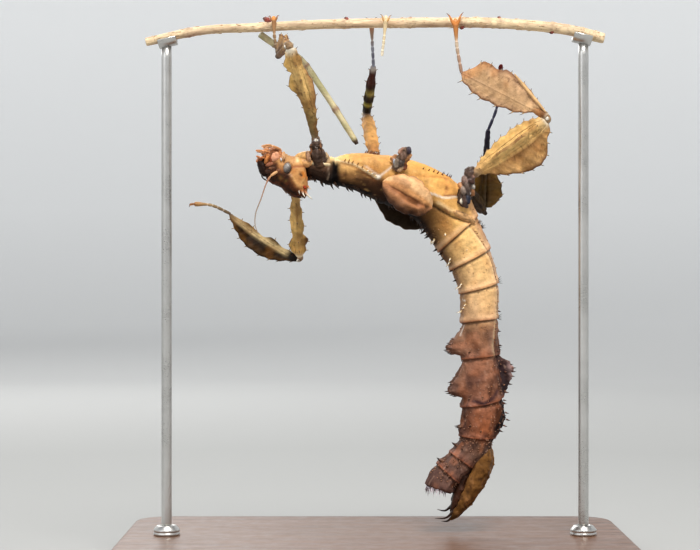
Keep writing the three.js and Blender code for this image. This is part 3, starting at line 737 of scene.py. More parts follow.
CREAM, MILK, HONEY = 0xFAE2B2, 0xECE8DE, 0xD69652
# Border between the back plates and the belly.
MARGIN = (
    (5.89, 118), (6.9, 130), (7.9, 136), (8.91, 134), (9.67, 119), (9.99, 124), (10.44, 115), (10.69, 106),
    (10.89, 101), (11.09, 112), (11.46, 121), (11.82, 116),
)
# Ridges, grooves, membranes and seams, and one line of painted shadow.
MARKS = (
    Mark(((0.06, 106), (0.4, 112), (0.75, 112)), CREAM, 0.28, 0.9, 0.3),
    Mark(((1.2, 22), (1.1, 60), (1.02, 90), (0.94, 122)), 0x0E0806, 0.5, 1.0, -0.35),
    Mark(((0.7, 112), (0.78, 84), (0.82, 46)), 0x96806C, 0.14, 0.55, 0.2),
    Mark(((0.94, 148), (1.2, 128), (1.57, 114), (1.99, 94), (2.45, 82)), CREAM, 0.22, 0.8, 0.2),
    Mark(((1.3, 119), (1.6, 107), (2.02, 87), (2.42, 76)), 0x704222, 0.5, 0.6, -0.12),
    Mark(((2.04, 106), (2.24, 97), (2.51, 88), (2.66, 103), (2.83, 120)), MILK, 0.22, 0.5, -0.14),
    Mark(((2.5, 88), (2.46, 86)), 0xFAF6E8, 0.36, 0.7, 0.05),
    Mark(((1.5, 180), (2.2, 180), (2.9, 180)), HONEY, 0.35, 0.6, -0.35),
    Mark(((1.6, 125), (2.3, 150)), HONEY, 0.3, 0.5, -0.25),
    Mark(((3.1, 180), (3.9, 180), (4.7, 180)), HONEY, 0.3, 0.5, -0.3),
    Mark(((3.39, 108), (3.89, 121), (4.37, 143), (4.5, 160)), 0xBE8042, 0.3, 0.65, -0.16),
    Mark(((4.39, 148), (4.5, 128), (4.63, 112)), 0xCE8654, 0.28, 0.5, -0.12),
    Mark(((4.06, 90), (4.32, 96), (4.61, 101), (4.77, 110), (4.95, 126)), MILK, 0.2, 0.75, 0.08),
    Mark(((4.6, 106), (4.72, 113), (4.9, 128)), 0x6E3C24, 0.24, 0.8, -0.15),
    Mark(((4.54, 123), (4.56, 123)), 0x60341A, 0.3, 0.95, -0.2),
    # Painted shadow: a dark sunken line where the hind edge of the thorax overlaps the first abdominal plate.
    Mark(
        ((4.3, 70), (4.46, 76), (4.95, 82), (5.35, 93), (5.76, 119), (5.84, 132)), 0x2C180E, 0.3, 0.9,
        -0.5,
    ),
    Mark(((4.6, 88), (5.1, 96), (5.4, 112)), CREAM, 0.45, 0.35, 0.25),
    Mark(((4.95, 89), (5.15, 92)), 0x80482A, 0.35, 0.7, 0.25),
    Mark(MARGIN, 0x78462E, 0.2, 0.7, -0.2),
    Mark(tuple((s, a - 5) for s, a in MARGIN[:6]), CREAM, 0.3, 0.3, 0.12),
    Mark(((6.2, 180), (8.0, 180), (9.9, 180)), 0x96684C, 0.3, 0.5, -0.18),
    Mark(((10.9, 64), (10.96, 88), (10.84, 110), (10.7, 124)), 0x221422, 0.5, 0.85, -0.1),
    Mark(((8.32, 30), (8.36, 46)), MILK, 0.16, 0.7, 0.05),
    Mark(((9.12, 34), (9.4, 36)), MILK, 0.14, 0.6, 0.05),
)


@dataclass
class Trunk:
    """Thorax and abdomen as one loft: an oval carried from the neck to the tail.

    The loft swells into a lip before the rear edge of each plate and drops after it. Edges are
    slanted, so they lie further back on the back than on the belly.

    Attributes:
        inset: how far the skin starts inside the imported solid.
        lips: station and height of the lip of each edge.
        slants: (station, slant) rows.
        humps: first, highest and last station, height, angle and width of each lobe.
        border: (station, angle) rows of the border between the back plates and the belly.
    """

    rings: int = 364
    sides: int = 104
    inset: float = 0.14
    lips: tuple[tuple[float, float], ...] = (
        (1, 0.3), (3, 0.2), (6, 0.18), (7, 0.2), (8, 0.22), (9, 0.22), (10, 0.22), (11, 0.26), (12, 0.26),
        (14, 0.22), (15, 0.2),
    )
    slants: tuple[tuple[float, float], ...] = (
        (0, 0), (3, 0.05), (5, 0.18), (6, 0.25), (7, 0.09), (8, 0.1), (9, 0.07), (10, 0.05), (11, 0.16),
        (12, 0.15), (14, 0.18), (15, 0.0), (17, 0.0),
    )
    humps: tuple[tuple[float, ...], ...] = (
        (9.1, 9.8, 9.98, 3.9, 24, 17), (10.06, 10.7, 10.87, 3.8, 24, 17), (9.9, 10.28, 10.95, 3.0, 180, 15),
        (10.98, 11.3, 11.9, 1.4, 180, 13), (11.5, 11.86, 11.99, 0.6, 24, 12),
    )
    border: tuple[tuple[float, float], ...] = (
        (5, 116), (6.9, 130), (7.9, 136), (9, 132), (9.8, 120), (10.9, 102), (11.5, 121), (13, 116),
    )

    def __post_init__(self) -> None:
        """Measures the axis."""
        self.rail = Rail(TRUNK[:, :3], RIGHT)
        self.last = len(TRUNK) - 1
        self.steps = np.linspace(0, self.last, 3401)
        line = run(self.rail.stations, self.steps / self.last)
        self.reach = np.concatenate([[0], np.cumsum(np.linalg.norm(np.diff(line, axis=0), axis=1))])

    def arc(self, station: Array | float) -> Array:
        """Millimetres along the axis at a station."""
        return np.interp(station, self.steps, self.reach)

    def girth(self, station: Array) -> Array:
        """Height and width at each station."""
        return run(TRUNK[:, 3:], station / self.last)

    def spot(self, station: Array, degrees: Array, lift: Array | float = 0.0) -> tuple[Array, Array, Array]:
        """Places on the smooth trunk, with their outward and tailward directions."""
        centre, along, across, over = self.rail.at(station / self.last)
        angle = np.radians(degrees)
        outward = around(across, over, angle)
        radius = oval(*self.girth(station).T, angle) - self.inset + lift
        return centre + outward * radius[:, None], outward, along

    def flat(self, station: Array, fold: Array) -> Array:
        """Skin coordinates in millimetres: along the axis, and round from the back."""
        girth = self.girth(station).sum(1)
        return np.column_stack([self.arc(station), np.radians(fold) * girth / 4, np.zeros(len(station))])

    def shell(self) -> Shell:
        """The whole trunk, carved and painted, with its rings crowded at the edges."""
        arcs = np.linspace(0, self.reach[-1], 4000)
        near = sum(bell(arcs - self.arc(edge), 0.9) for edge, _ in self.lips)
        total = np.cumsum(1 + 2.6 * near + 2 * bell(arcs - arcs[-1], 0.7))
        ring_arcs = np.interp(np.linspace(total[0], total[-1], self.rings), total, arcs)
        rows = np.interp(ring_arcs, self.reach, self.steps)
        grids = np.meshgrid(rows, np.linspace(0, 360, self.sides, endpoint=False), indexing="ij")
        ring, turn = (grid.ravel() for grid in grids)
        slant = table(self.slants, ring) * np.cos(np.radians(turn))
        station = ring + slant * np.sin(np.pi * np.clip(ring / self.last, 0, 1)) ** 0.2
        station = np.clip(station, 0, self.last)
        lift, hue, gloss = self.dress(ring, station, turn)
        shape = (self.rings, self.sides)
        points = self.spot(station, turn, lift)[0].reshape(*shape, 3)
        return Shell.wrap(points, hue.reshape(*shape, 3), gloss.reshape(shape))

    def dress(self, ring: Array, station: Array, turn: Array) -> tuple[Array, Array, Array]:
        """Relief, colour and roughness of the trunk.

        Args:
            ring: place measured in plates, which a slanted edge keeps whole.
            station: place measured in stations.
            turn: angle round the trunk, 0 to 360 degrees.

        Returns:
            Lift in millimetres, colour and roughness of each corner.
        """
        fold = np.minimum(turn, 360 - turn)
        flat = self.flat(station, fold)
        skew = np.column_stack([flat[:, 0], np.radians(turn) * 6.0, flat[:, 2]])
        lift = 0.16 * grain(skew, (2.6, 1.8, 1), 3) + 0.07 * grain(skew, 0.9, 4)
        pleats = folds(skew, (3.6, 0.85, 1), 7) * ramp(station, 5, 6.5)
        rings = folds(skew, (0.55, 3.2, 1), 8)
        lift += 0.16 * pleats - 0.1 * rings * ramp(fold, 60, 110)
        coarse = ramp(station, 8.8, 9.7)
        rough = 0.3 * grain(skew, (2.6, 2.0, 1), 25) + 0.12 * grain(skew, 0.85, 26)
        lift += coarse * (rough + 0.05 * grain(skew, 0.42, 27))
        hump = self.hump(station, fold)
        lift += hump * (1 + 0.1 * grain(skew, 0.7, 41))
        belly_seam = bell(fold - 180, 12)
        flank = ramp(station, 1.2, 1.4) * (1 - ramp(station, 2.6, 3.2)) * (1 - ramp(fold, 84, 98))
        hue = paint(
            self.base_hue(station, fold),
            (0x3A2416, 0.6 * flank * spots(skew, (2.0, 1.3, 1), 45, 0.0, 0.5)),
            (0xCEA060, 0.5 * flank * spots(skew, (0.9, 0.6, 1), 47, 0.45, 0.8)),
            # The last layer darkens the sunken ring creases, as painted shade, and the pleat lines.
            (0.62, 0.5 * rings * ramp(fold, 30, 80) + 0.25 * pleats),
        )
        arc = self.arc(ring)
        rear = np.zeros(len(ring))
        for edge, lip in self.lips:
            gap = arc - self.arc(edge)
            after, hard = np.maximum(gap, 0), lip * (1 - 0.4 * belly_seam)
            lift += hard * bell(gap + 0.75, 0.75) * (gap < 0) + hard * (gap < 0) * bell(gap + 0.2, 0.35) * 0.4
            lift -= (0.45 * lip + 0.14) * bell(after - 0.3, 0.5) * (gap >= 0)
            rear = np.maximum(rear, bell(after - 0.1, 0.32) * (gap >= -0.15))
            if edge >= 6:
                band, rust = 0xF3C496 if edge < 10 else 0x845442, 0xB0623E
                hue = paint(hue, (band, 0.4 * bell(gap + 0.9, 0.65)), (rust, 0.45 * bell(gap + 0.28, 0.22)))
        # Painted shade: a dark band just behind each plate edge, where the lip of the plate in front hangs
        # over the drop.
        crease = paint(0x462A1C, (hue * 0.5, ramp(fold, 100, 170)))
        hue = paint(hue, (crease, 0.75 * rear * ramp(station, 4.6, 5.6)))
        for mark in MARKS:
            near = segment_distance(flat, self.flat(*np.array(mark.route, float).T))
            hue = paint(hue, (mark.hue, mark.strength * bell(near, mark.width)))
            lift += mark.height * bell(near, mark.width * 1.25)
        belly = ramp(fold - table(self.border, station), 0, 9)
        lift -= 0.22 * belly * ramp(station, 5.6, 6.2) * (1 - ramp(station, 12, 12.6))
        warts = spots(skew, 0.7, 11, 0.55, 0.85) * (1 - ramp(fold, 120, 150) * 0.7)
        lift += 0.13 * warts
        hue = paint(
            hue,
            (hue * 1.35 + 0.02, 0.4 * warts),
            (0x784A2C, (0.2 + 0.3 * coarse) * spots(skew, 0.5, 13, 0.62, 0.8) * ramp(station, 5, 7)),
            (0x342222, 0.5 * coarse * spots(skew, (3.4, 2.6, 1), 31, 0.05, 0.6)),
            (0x2C1C1E, 0.3 * coarse * spots(skew, (0.9, 0.7, 1), 35, 0.2, 0.65)),
            (0xC49E88, 0.3 * coarse * spots(skew, (0.7, 0.45, 1), 33, 0.4, 0.75)),
            (0xA8643E, 0.3 * coarse * spots(skew, (2.2, 1.8, 1), 37, 0.1, 0.6)),
        )
        stain = spots(skew, (3.4, 2.4, 1), 17, 0.05, 0.7)
        pale = spots(skew, (2.4, 1.7, 1), 19, 0.2, 0.7) * ramp(station, 5.6, 6.4)
        lift -= 2.2 * (1 - np.sqrt(np.clip(arc / 0.8, 0, 1))) + 0.8 * ramp(arc - self.reach[-1], -0.5, 0)
        tip = ramp(hump, 1.2, 3.2)
        hue = paint(
            hue,
            (hue * np.array([0.84, 0.72, 0.6]), 0.5 * stain),
            ((1.18, 0.03), 0.45 * pale),
            (0x4C342E, 0.5 * tip * (fold < 90)),
            (0xB8948E, 0.8 * tip * (fold > 90) * spots(skew, 0.9, 43, -0.6, 0.2)),
        )
        gloss = 0.5 + 0.12 * stain + 0.08 * coarse + 0.3 * (1 - ramp(hue.sum(1), 0.05, 0.4))
        return lift, hue, gloss

    def hump(self, station: Array, fold: Array) -> Array:
        """Height of the leafy lobes on the back and of the keels on the belly.

        Each one climbs slowly towards its tip and drops steeply behind it, and is a bell round its
        own angle.
        """
        rise = np.zeros(len(station))
        for first, tip, last, height, angle, width in self.humps:
            climb = ramp(station, first, tip) * (1 - ramp(station, tip + 0.02, last))
            ragged = 1 + 0.08 * np.sin(station * 34 + height) + 0.06 * np.sin(station * 71 + height)
            rise += height * climb * ragged * bell(fold - angle, width)
        return rise

    @staticmethod
    def base_hue(station: Array, fold: Array) -> Array:
        """Base colour, blended round the trunk from back to flank, side and belly; the table paints shade on
        the thorax's down-facing back and light on its flanks and sides.
        """
        places, *bands = zip(*TRUNK_HUES)
        back, flank, side, belly = (hue_table(list(zip(places, band)), station) for band in bands)
        return paint(
            back, (flank, ramp(fold, 30, 72)), (side, ramp(fold, 70, 104)), (belly, ramp(fold, 108, 150))
        )


def toothed(
    place: Array, edge: Sequence[tuple[float, float]], teeth: int, bite: float, seed: int
) -> tuple[Array, Array]:
    """Outline of a toothed edge.

    The outline is read off a table and rounded by a short moving mean, and notches are cut between
    teeth that stand a little unevenly.

    Args:
        place: places along the root, from 0 to 1.
        edge: (place, width) rows.
        teeth: number of teeth.
        bite: depth of the notches.
        seed: shifts the teeth.

    Returns:
        Width at each place, and the places of the teeth.
    """
    shifts = np.linspace(-0.012, 0.012, 7)
    smooth = np.mean([table(edge, np.clip(place + shift, 0, 1)) for shift in shifts], 0)
    if not teeth:
        return smooth, np.zeros(0)
    shown = [row[0] for row in edge if row[1] > 0.3]
    first, last = min(shown), max(shown)
    order = (np.arange(teeth) + 0.5) / teeth + 0.12 / teeth * np.sin(np.arange(teeth) * 2.4 + seed)
    tips = first + (last - first) * order
    pitch = (last - first) / teeth
    gap = np.abs(place[:, None] - tips) / (0.55 * pitch)
    point = np.clip(1 - gap, 0, 1).max(1) ** 0.8
    return np.maximum(smooth - bite * (1 - point) * np.minimum(1, smooth), 0), tips


# ---------------------------------------------------------------- head


HEAD_SIDE = -7.0  # Y of the head's middle plane
MUZZLE = np.array([-26.6, HEAD_SIDE, 95.2])
NAPE = (0.812, 0.0, -0.584)  # way from the mouth to the crown
# Down the head: distance from the mouth, jaw side, neck side and half width.
HEAD = np.array(
    [
        [0.0, -0.6, 1.6, 1.1], [0.7, -1.4, 3.3, 2.0], [1.6, -2.1, 4.3, 2.45], [2.9, -2.8, 4.75, 2.75],
        [4.3, -3.15, 4.85, 2.95], [5.7, -2.85, 5.75, 3.05], [7.3, -2.6, 6.1, 3.1], [8.8, -2.7, 5.15, 3.05],
        [10.0, -2.8, 3.95, 2.8], [11.2, -2.45, 2.75, 2.3], [12.3, -1.8, 1.25, 1.6],
        [13.1, -1.1, -0.3, 0.6],
    ],
)


@dataclass
class Head:
    """Head capsule: rings from the mouth to the crown, boxy towards the neck and round towards the jaw.

    Attributes:
        eye: X and Z of an eye's centre.
        reach: distance of an eye's centre from the middle plane.
        radii: half sizes of an eye along X, Y and Z.
        tubercles: X, Z, distance from the middle plane and length of each spine of the crown.
    """

    rings: int = 100
    sides: int = 90
    eye: tuple[float, float] = (-20.7, 93.5)
    reach: float = 2.72
    radii: Point = (1.0, 1.05, 1.3)
    tubercles: tuple[tuple[float, ...], ...] = (
        (-18.0, 88.8, 1.9, 1.5), (-17.3, 88.3, 1.7, 1.9), (-16.6, 88.1, 1.5, 2.6), (-16.2, 87.5, 0.7, 1.5),
        (-15.9, 89.2, 1.5, 0.9), (-17.6, 87.6, 0.5, 1.3),
    )

    def shell(self) -> Shell:
        """The capsule, carved and painted."""
        along, across = np.array(NAPE), np.array(RIGHT)
        over = np.cross(along, across)
        place = 0.5 - 0.5 * np.cos(np.linspace(0.12, np.pi - 0.06, self.rings))
        at = place * HEAD[-1, 0]
        shifts = (-0.45, -0.2, 0, 0.2, 0.45)
        low, high, half = (
            np.mean([np.interp(at + shift, HEAD[:, 0], column) for shift in shifts], 0)[:, None]
            for column in HEAD.T[1:]
        )
        waist, turn = low + 0.42 * (high - low), circle(self.sides)
        jaw = oval(2 * (waist - low), 2 * half, turn, 2.1)
        neck = oval(2 * (high - waist), 2 * half, turn, 2.6)
        radius = np.where(np.cos(turn) > 0, jaw, neck) - 0.14
        out = around(across, over, turn)
        centre = MUZZLE + along * at[:, None] - over * waist
        bare = centre[:, None] + out * radius[..., None]
        lift, hue, gloss = self.dress(bare)
        return Shell.wrap(bare + out * lift[..., None], hue, gloss)

    def dress(self, bare: Array) -> tuple[Array, Array, Array]:
        """Relief, colour and roughness of the capsule.

        Args:
            bare: places on the smooth capsule.

        Returns:
            Lift in millimetres, colour and roughness of each corner.
        """
        x, y, z = np.moveaxis(bare, -1, 0)
        side = np.stack([x, z], -1)
        skin = np.stack([x, np.abs(y - HEAD_SIDE), z], -1)

        def near(*stops: tuple[float, float]) -> Array:
            """Distance in side view from a broken line."""
            return segment_distance(side, stops if len(stops) > 1 else stops * 2)

        # Tan cheek, paler towards the neck; below a slanting line the face is almost black, partly its own
        # dark brown and partly painted shade where the face turns down away from the light.
        border = 71.0 + 0.45 * grain(skin, 1.3, 6) + 1.3 * bell(near((-21.0, 92.2), (-20.6, 91.6)), 0.8)
        muzzle = ramp(-x, 22.6, 23.6) * (1 - ramp(z - 0.5 * x, 106.0, 107.0))
        dark_and_shaded_fringe = np.maximum(1 - ramp(x + z, border - 0.5, border + 1.3), muzzle)
        face = np.maximum(1 - ramp(x + z, border - 1.5, border + 0.3), muzzle)
        rough = folds(skin, 1.0, 5)
        lift = 0.05 * grain(skin, 0.8, 9) + 0.16 * rough * face + 0.1 * grain(skin, 1.6, 12)
        pits = np.minimum(near((-22.3, 91.2)), near((-21.0, 90.5)))
        hue = paint(
            0xBE8852,
            (0xC49462, ramp(z + 0.35 * x, 86.6, 89.0)),
            (0xB06C38, 0.5 * spots(skin, 1.7, 3, 0.0, 0.7)),
            (0x6E3E20, 0.85 * dark_and_shaded_fringe),
            (0x1E0F08, 0.97 * face),
            (0x703C20, 0.42 * rough * face),
            (0x7A5C2E, 0.7 * face * bell(pits, 0.42)),
            (0x68321A, 0.55 * face * spots(skin, 0.9, 15, 0.3, 0.7)),
        )
        # Temple band, dark eyespot with an orange ring, pale fleck, yellow nape and the ruddy rear rim.
        band = near((-20.0, 93.5), (-18.7, 93.95), (-16.6, 94.1))
        lift -= 0.14 * bell(band, 0.28)
        spot = near((-17.6, 92.0), (-17.4, 91.8))
        lift += 0.12 * bell(spot - 0.7, 0.35) - 0.12 * bell(spot, 0.3)
        hue = paint(
            hue,
            (0x965430, 0.8 * bell(band, 0.3)),
            (0xCE7624, 0.85 * bell(near((-17.1, 92.3), (-16.9, 91.5)), 0.42)),
            (0x2C1E1A, 0.95 * bell(spot, 0.36)),
            (0xE8B088, 0.7 * bell(near((-20.2, 92.0), (-19.8, 91.7)), 0.3)),
            (0xE2A854, 0.8 * bell(near((-17.7, 96.2), (-17.0, 95.2)), 0.6)),
            (0xE8D6A6, 0.7 * bell(near((-18.6, 96.2), (-18.3, 95.2)), 0.3)),
            (0xBE602E, 0.6 * ramp(x + 0.2 * (z - 92), -16.6, -15.9)),
        )
        for fold in (
            ((-19.4, 91.4), (-18.8, 90.2), (-18.2, 89.4)),
            ((-16.9, 90.9), (-17.4, 90.0), (-17.6, 89.2)),
        ):
            line = near(*fold)
            hue = paint(hue, (0xE2B070, 0.4 * bell(line, 0.25)))
            lift += 0.12 * bell(line, 0.3)
        seam = near((-21.6, 96.9), (-21.2, 95.6), (-21.6, 94.8))
        lift -= 0.25 * bell(seam, 0.3)
        # A raised rim round each eye with a dark ring where it meets the eye, and painted shade below the eye
        # that joins the shaded face.
        eye = np.linalg.norm((skin - [self.eye[0], self.reach, self.eye[1]]) / np.array(self.radii), axis=-1)
        lift += 0.2 * bell(eye - 1.25, 0.16)
        lift += 0.1 * spots(skin, 0.62, 21, 0.5, 0.8)
        hue = paint(
            hue,
            (0x5C3622, 0.7 * bell(seam, 0.22)),
            (0x462C1E, 0.85 * bell(eye - 1.06, 0.08)),
            (0x341E14, 0.8 * bell(near((-20.9, 92.1), (-20.6, 91.6)), 0.55)),
            (0x54321E, 0.3 * spots(skin, 0.42, 23, 0.55, 0.8)),
        )
        return lift, hue, 0.4 + 0.15 * face

    def eyes(self) -> dict[str, Shell]:
        """Both compound eyes: ellipsoids, paler above and darker towards their lower rear edge, partly their
        own colour and partly painted light and shade.
        """
        down, turn = np.linspace(0.03, np.pi - 0.03, 36)[::-1, None], circle(48)
        level = np.sin(down)
        ball = np.stack([level * np.sin(turn), level * np.cos(turn), np.cos(down) + 0 * turn], -1)
        shade = ramp(ball @ np.array([0.55, 0, -0.83]), -0.3, 0.55)
        stripe = np.sin(ball @ np.array([2.5, 0, 9.0])) ** 8
        hue = paint(0x8C847E, (0x30241C, shade), (0x60544A, 0.5 * stripe))
        found = {}
        for name, sign in (("right", -1), ("left", 1)):
            centre = np.array([self.eye[0], HEAD_SIDE + sign * self.reach, self.eye[1]])
            found[name] = Shell.wrap(centre + ball * np.array(self.radii), hue, 0.25)
        return found

    def crown(self) -> Shell:
        """The tiara: white-tipped tubercles round the crown and beads over the rear of the head."""
        x, z, out, size = np.tile(np.array(self.tubercles).T, 2)
        sign = np.repeat([-1, 1], len(self.tubercles))
        roots = np.column_stack([x, HEAD_SIDE + sign * out, z])
        aims = unit(np.column_stack([0.12 + 0.5 * (x + 17.5), sign * 0.24, np.full(len(x), -1.0)]))
        return spines(roots, aims, size, 0.2 + 0.06 * size, 0xB06E42, 0xF0E8D6)


# Lobes of the mouth: two ends (X, distance from the middle plane, Z), radius, colour and roughness.
LOBES = (
    ((-26.2, 0.7, 95.6), (-22.2, 1.3, 97.5), 1.7, 0x885434, 0.45),
    ((-24.4, 1.7, 95.1), (-22.8, 1.85, 97.4), 1.2, 0xDE9E7A, 0.24),
    ((-22.6, 2.0, 98.0), (-22.0, 2.4, 95.2), 0.5, 0xB2744A, 0.35),
    ((-21.6, 2.0, 97.5), (-21.7, 2.6, 95.3), 0.5, 0xCC9C72, 0.35),
    # Painted glint: the small pale grey-white lobe below.
    ((-22.25, 2.7, 96.0), (-22.1, 2.8, 95.1), 0.22, 0xCEC6C4, 0.25),
    ((-25.7, 0.9, 97.3), (-22.7, 1.3, 98.3), 0.72, 0xAA6E46, 0.35),
    ((-25.0, 2.2, 97.0), (-26.0, 2.2, 94.6), 0.5, 0xBC743C, 0.32),
    ((-24.75, 2.2, 97.0), (-24.6, 2.3, 94.9), 0.36, 0x7E3E22, 0.35),
    ((-27.0, 1.8, 95.8), (-25.2, 2.0, 97.2), 0.4, 0xAA7048, 0.35),
    # Near black, like the dark lobe three rows down: partly the face's own dark brown, partly painted shade
    # of the face.
    ((-27.3, 0.9, 96.3), (-26.0, 1.1, 91.7), 1.2, 0x28160E, 0.4),
    ((-25.9, 1.9, 94.2), (-24.0, 2.4, 94.7), 0.55, 0x925A40, 0.35),
    ((-25.2, 2.1, 93.5), (-23.3, 2.5, 93.5), 0.5, 0x7A5038, 0.4),
    ((-26.2, 1.5, 92.9), (-23.6, 2.0, 92.6), 0.72, 0x3E2418, 0.4),
    ((-27.7, 1.5, 95.0), (-26.4, 1.8, 96.1), 0.36, 0x965024, 0.3),
    ((-22.3, 2.4, 93.3), (-23.4, 2.9, 92.4), 0.6, 0x70462C, 0.4),
    ((-26.9, -0.4, 96.9), (-25.0, 0.4, 98.2), 0.8, 0xB87C50, 0.35),
)
# Palps: stops, radius and colour.
PALPS = (
    (((-22.2, 2.2, 97.9), (-23.6, 2.9, 98.5), (-24.9, 3.0, 98.9), (-26.9, 2.7, 98.65)), 0.27, 0xCA8E5E),
    (((-24.9, 2.3, 97.3), (-26.4, 2.7, 97.6), (-28.2, 2.4, 97.7)), 0.24, 0xBE8052),
    (((-26.0, 2.1, 95.9), (-27.15, 2.5, 96.1), (-28.1, 2.2, 96.4)), 0.24, 0xB27046),
    (((-27.1, 2.2, 96.0), (-27.8, 2.1, 95.6), (-28.0, 2.0, 94.9)), 0.21, 0xB4744C),
    (((-26.6, 1.5, 94.1), (-26.95, 1.7, 92.6), (-26.65, 1.7, 91.4), (-25.6, 1.7, 90.7)), 0.15, 0x30221C),
)


@dataclass
class Mouth:
    """Mouthparts: upper lip, plates, jaws and jointed palps, mostly orange, each one on both sides."""

    corners: int = 20
    rings: int = 34

    def shell(self) -> Shell:
        """All of the mouthparts as one shell."""
        parts = []
        for sign in (-1, 1):
            flip, shift = np.array([1.0, sign, 1.0]), np.array([0.0, HEAD_SIDE, 0.0])
            for number, (start, end, *finish) in enumerate(LOBES):
                ends = (np.array(stop) * flip + shift for stop in (start, end))
                parts.append(lump(*ends, *finish, number, self.corners))
            parts += [self.palp(np.array(stops) * flip + shift, radius, hue) for stops, radius, hue in PALPS]
        return Shell.join(parts)

    def palp(self, points: Array, radius: float, hue: int) -> Shell:
        """A jointed palp: a tube pinched at each joint, where it is paler."""
        place = np.linspace(0, 1, self.rings)
        pinch = np.abs(np.sin(place * np.pi * 2))
        size = radius * (0.55 + 0.42 * pinch**0.5) * closing(place, 0.9, 0.11, 0.9)
        tint = paint(hue, ((1.5, 0.12), 1 - ramp(pinch, 0.05, 0.4)))
        return tube(Rail(points, FRONT), self.rings, 12, size, tint[:, None], 0.35)


@dataclass
class Feelers:
    """Antennae: a stout first joint, a short second one and a beaded, tapering whip.

    Attributes:
        right: middle line of the right one.
        left: middle line of the left one.
        hues: colour rows along them.
    """

    right: tuple[Point, ...] = (
        (-22.8, -9.8, 92.9), (-24.9, -10.9, 91.2), (-26.9, -11.8, 86.0), (-28.1, -11.5, 82.7),
        (-28.2, -11.0, 79.9), (-27.6, -10.5, 78.3),
    )
    left: tuple[Point, ...] = (
        (-23.4, -3.7, 92.7), (-24.2, -1.6, 92.0), (-23.4, 3.2, 90.6), (-22.3, 7.6, 89.3), (-21.6, 11.8, 88.4),
    )
    hues: tuple = (
        (0, 0xCEA070), (0.15, 0xC49264), (0.22, 0x9C6C52), (0.5, 0x9C8674),
        (1, 0xAC9886),
    )

    def shells(self) -> dict[str, Shell]:
        """Both antennae by side."""
        return {"right": self.one(self.right), "left": self.one(self.left)}

    def one(self, points: tuple[Point, ...]) -> Shell:
        """One antenna."""
        rings = 190
        place = np.linspace(0, 1, rings)
        bead = np.abs(np.sin(place * np.pi * 26))
        whip = (0.18 - 0.08 * place) * (0.8 + 0.25 * bead)
        scape = 0.36 * dome((place - 0.085) / 0.095, 2, 0)
        pedicel = 0.25 * dome((place - 0.215) / 0.045, 2, 0)
        size = np.maximum(np.maximum(whip, scape), pedicel) * closing(place, 0.985, 0.016, 0.8)
        gaps = 0.45 * (1 - ramp(bead, 0.1, 0.5)) * ramp(place, 0.2, 0.26)
        hue = paint(hue_table(self.hues, place), (0x5C4234, gaps))
        return tube(Rail(points, FRONT), rings, 12, size, hue[:, None], 0.4)


# ---------------------------------------------------------------- legs


@dataclass(frozen=True)
class Leaf:
    """A leafy flap along a limb.

    Attributes:
        angle: where it stands round the limb: 0 over, 90 on the facing side, in degrees.
        edge: (place along the limb, distance from its axis) rows.
        hues: colour rows from its root (0) to its edge (1).
        teeth: teeth along the edge.
        bite: depth of the notches.
        curl: how far the edge bends sideways, as a share of the width.
        wave: height of the edge's ripples.
        thick: thickness at the root.
        spike: how long the spines on its teeth are, as a share of the usual.
    """

    angle: float
    edge: tuple[tuple[float, float], ...]
    hues: tuple
    teeth: int = 0
    bite: float = 0.3
    curl: float = 0.0
    wave: float = 0.25
    thick: float = 0.55
    spike: float = 1.0


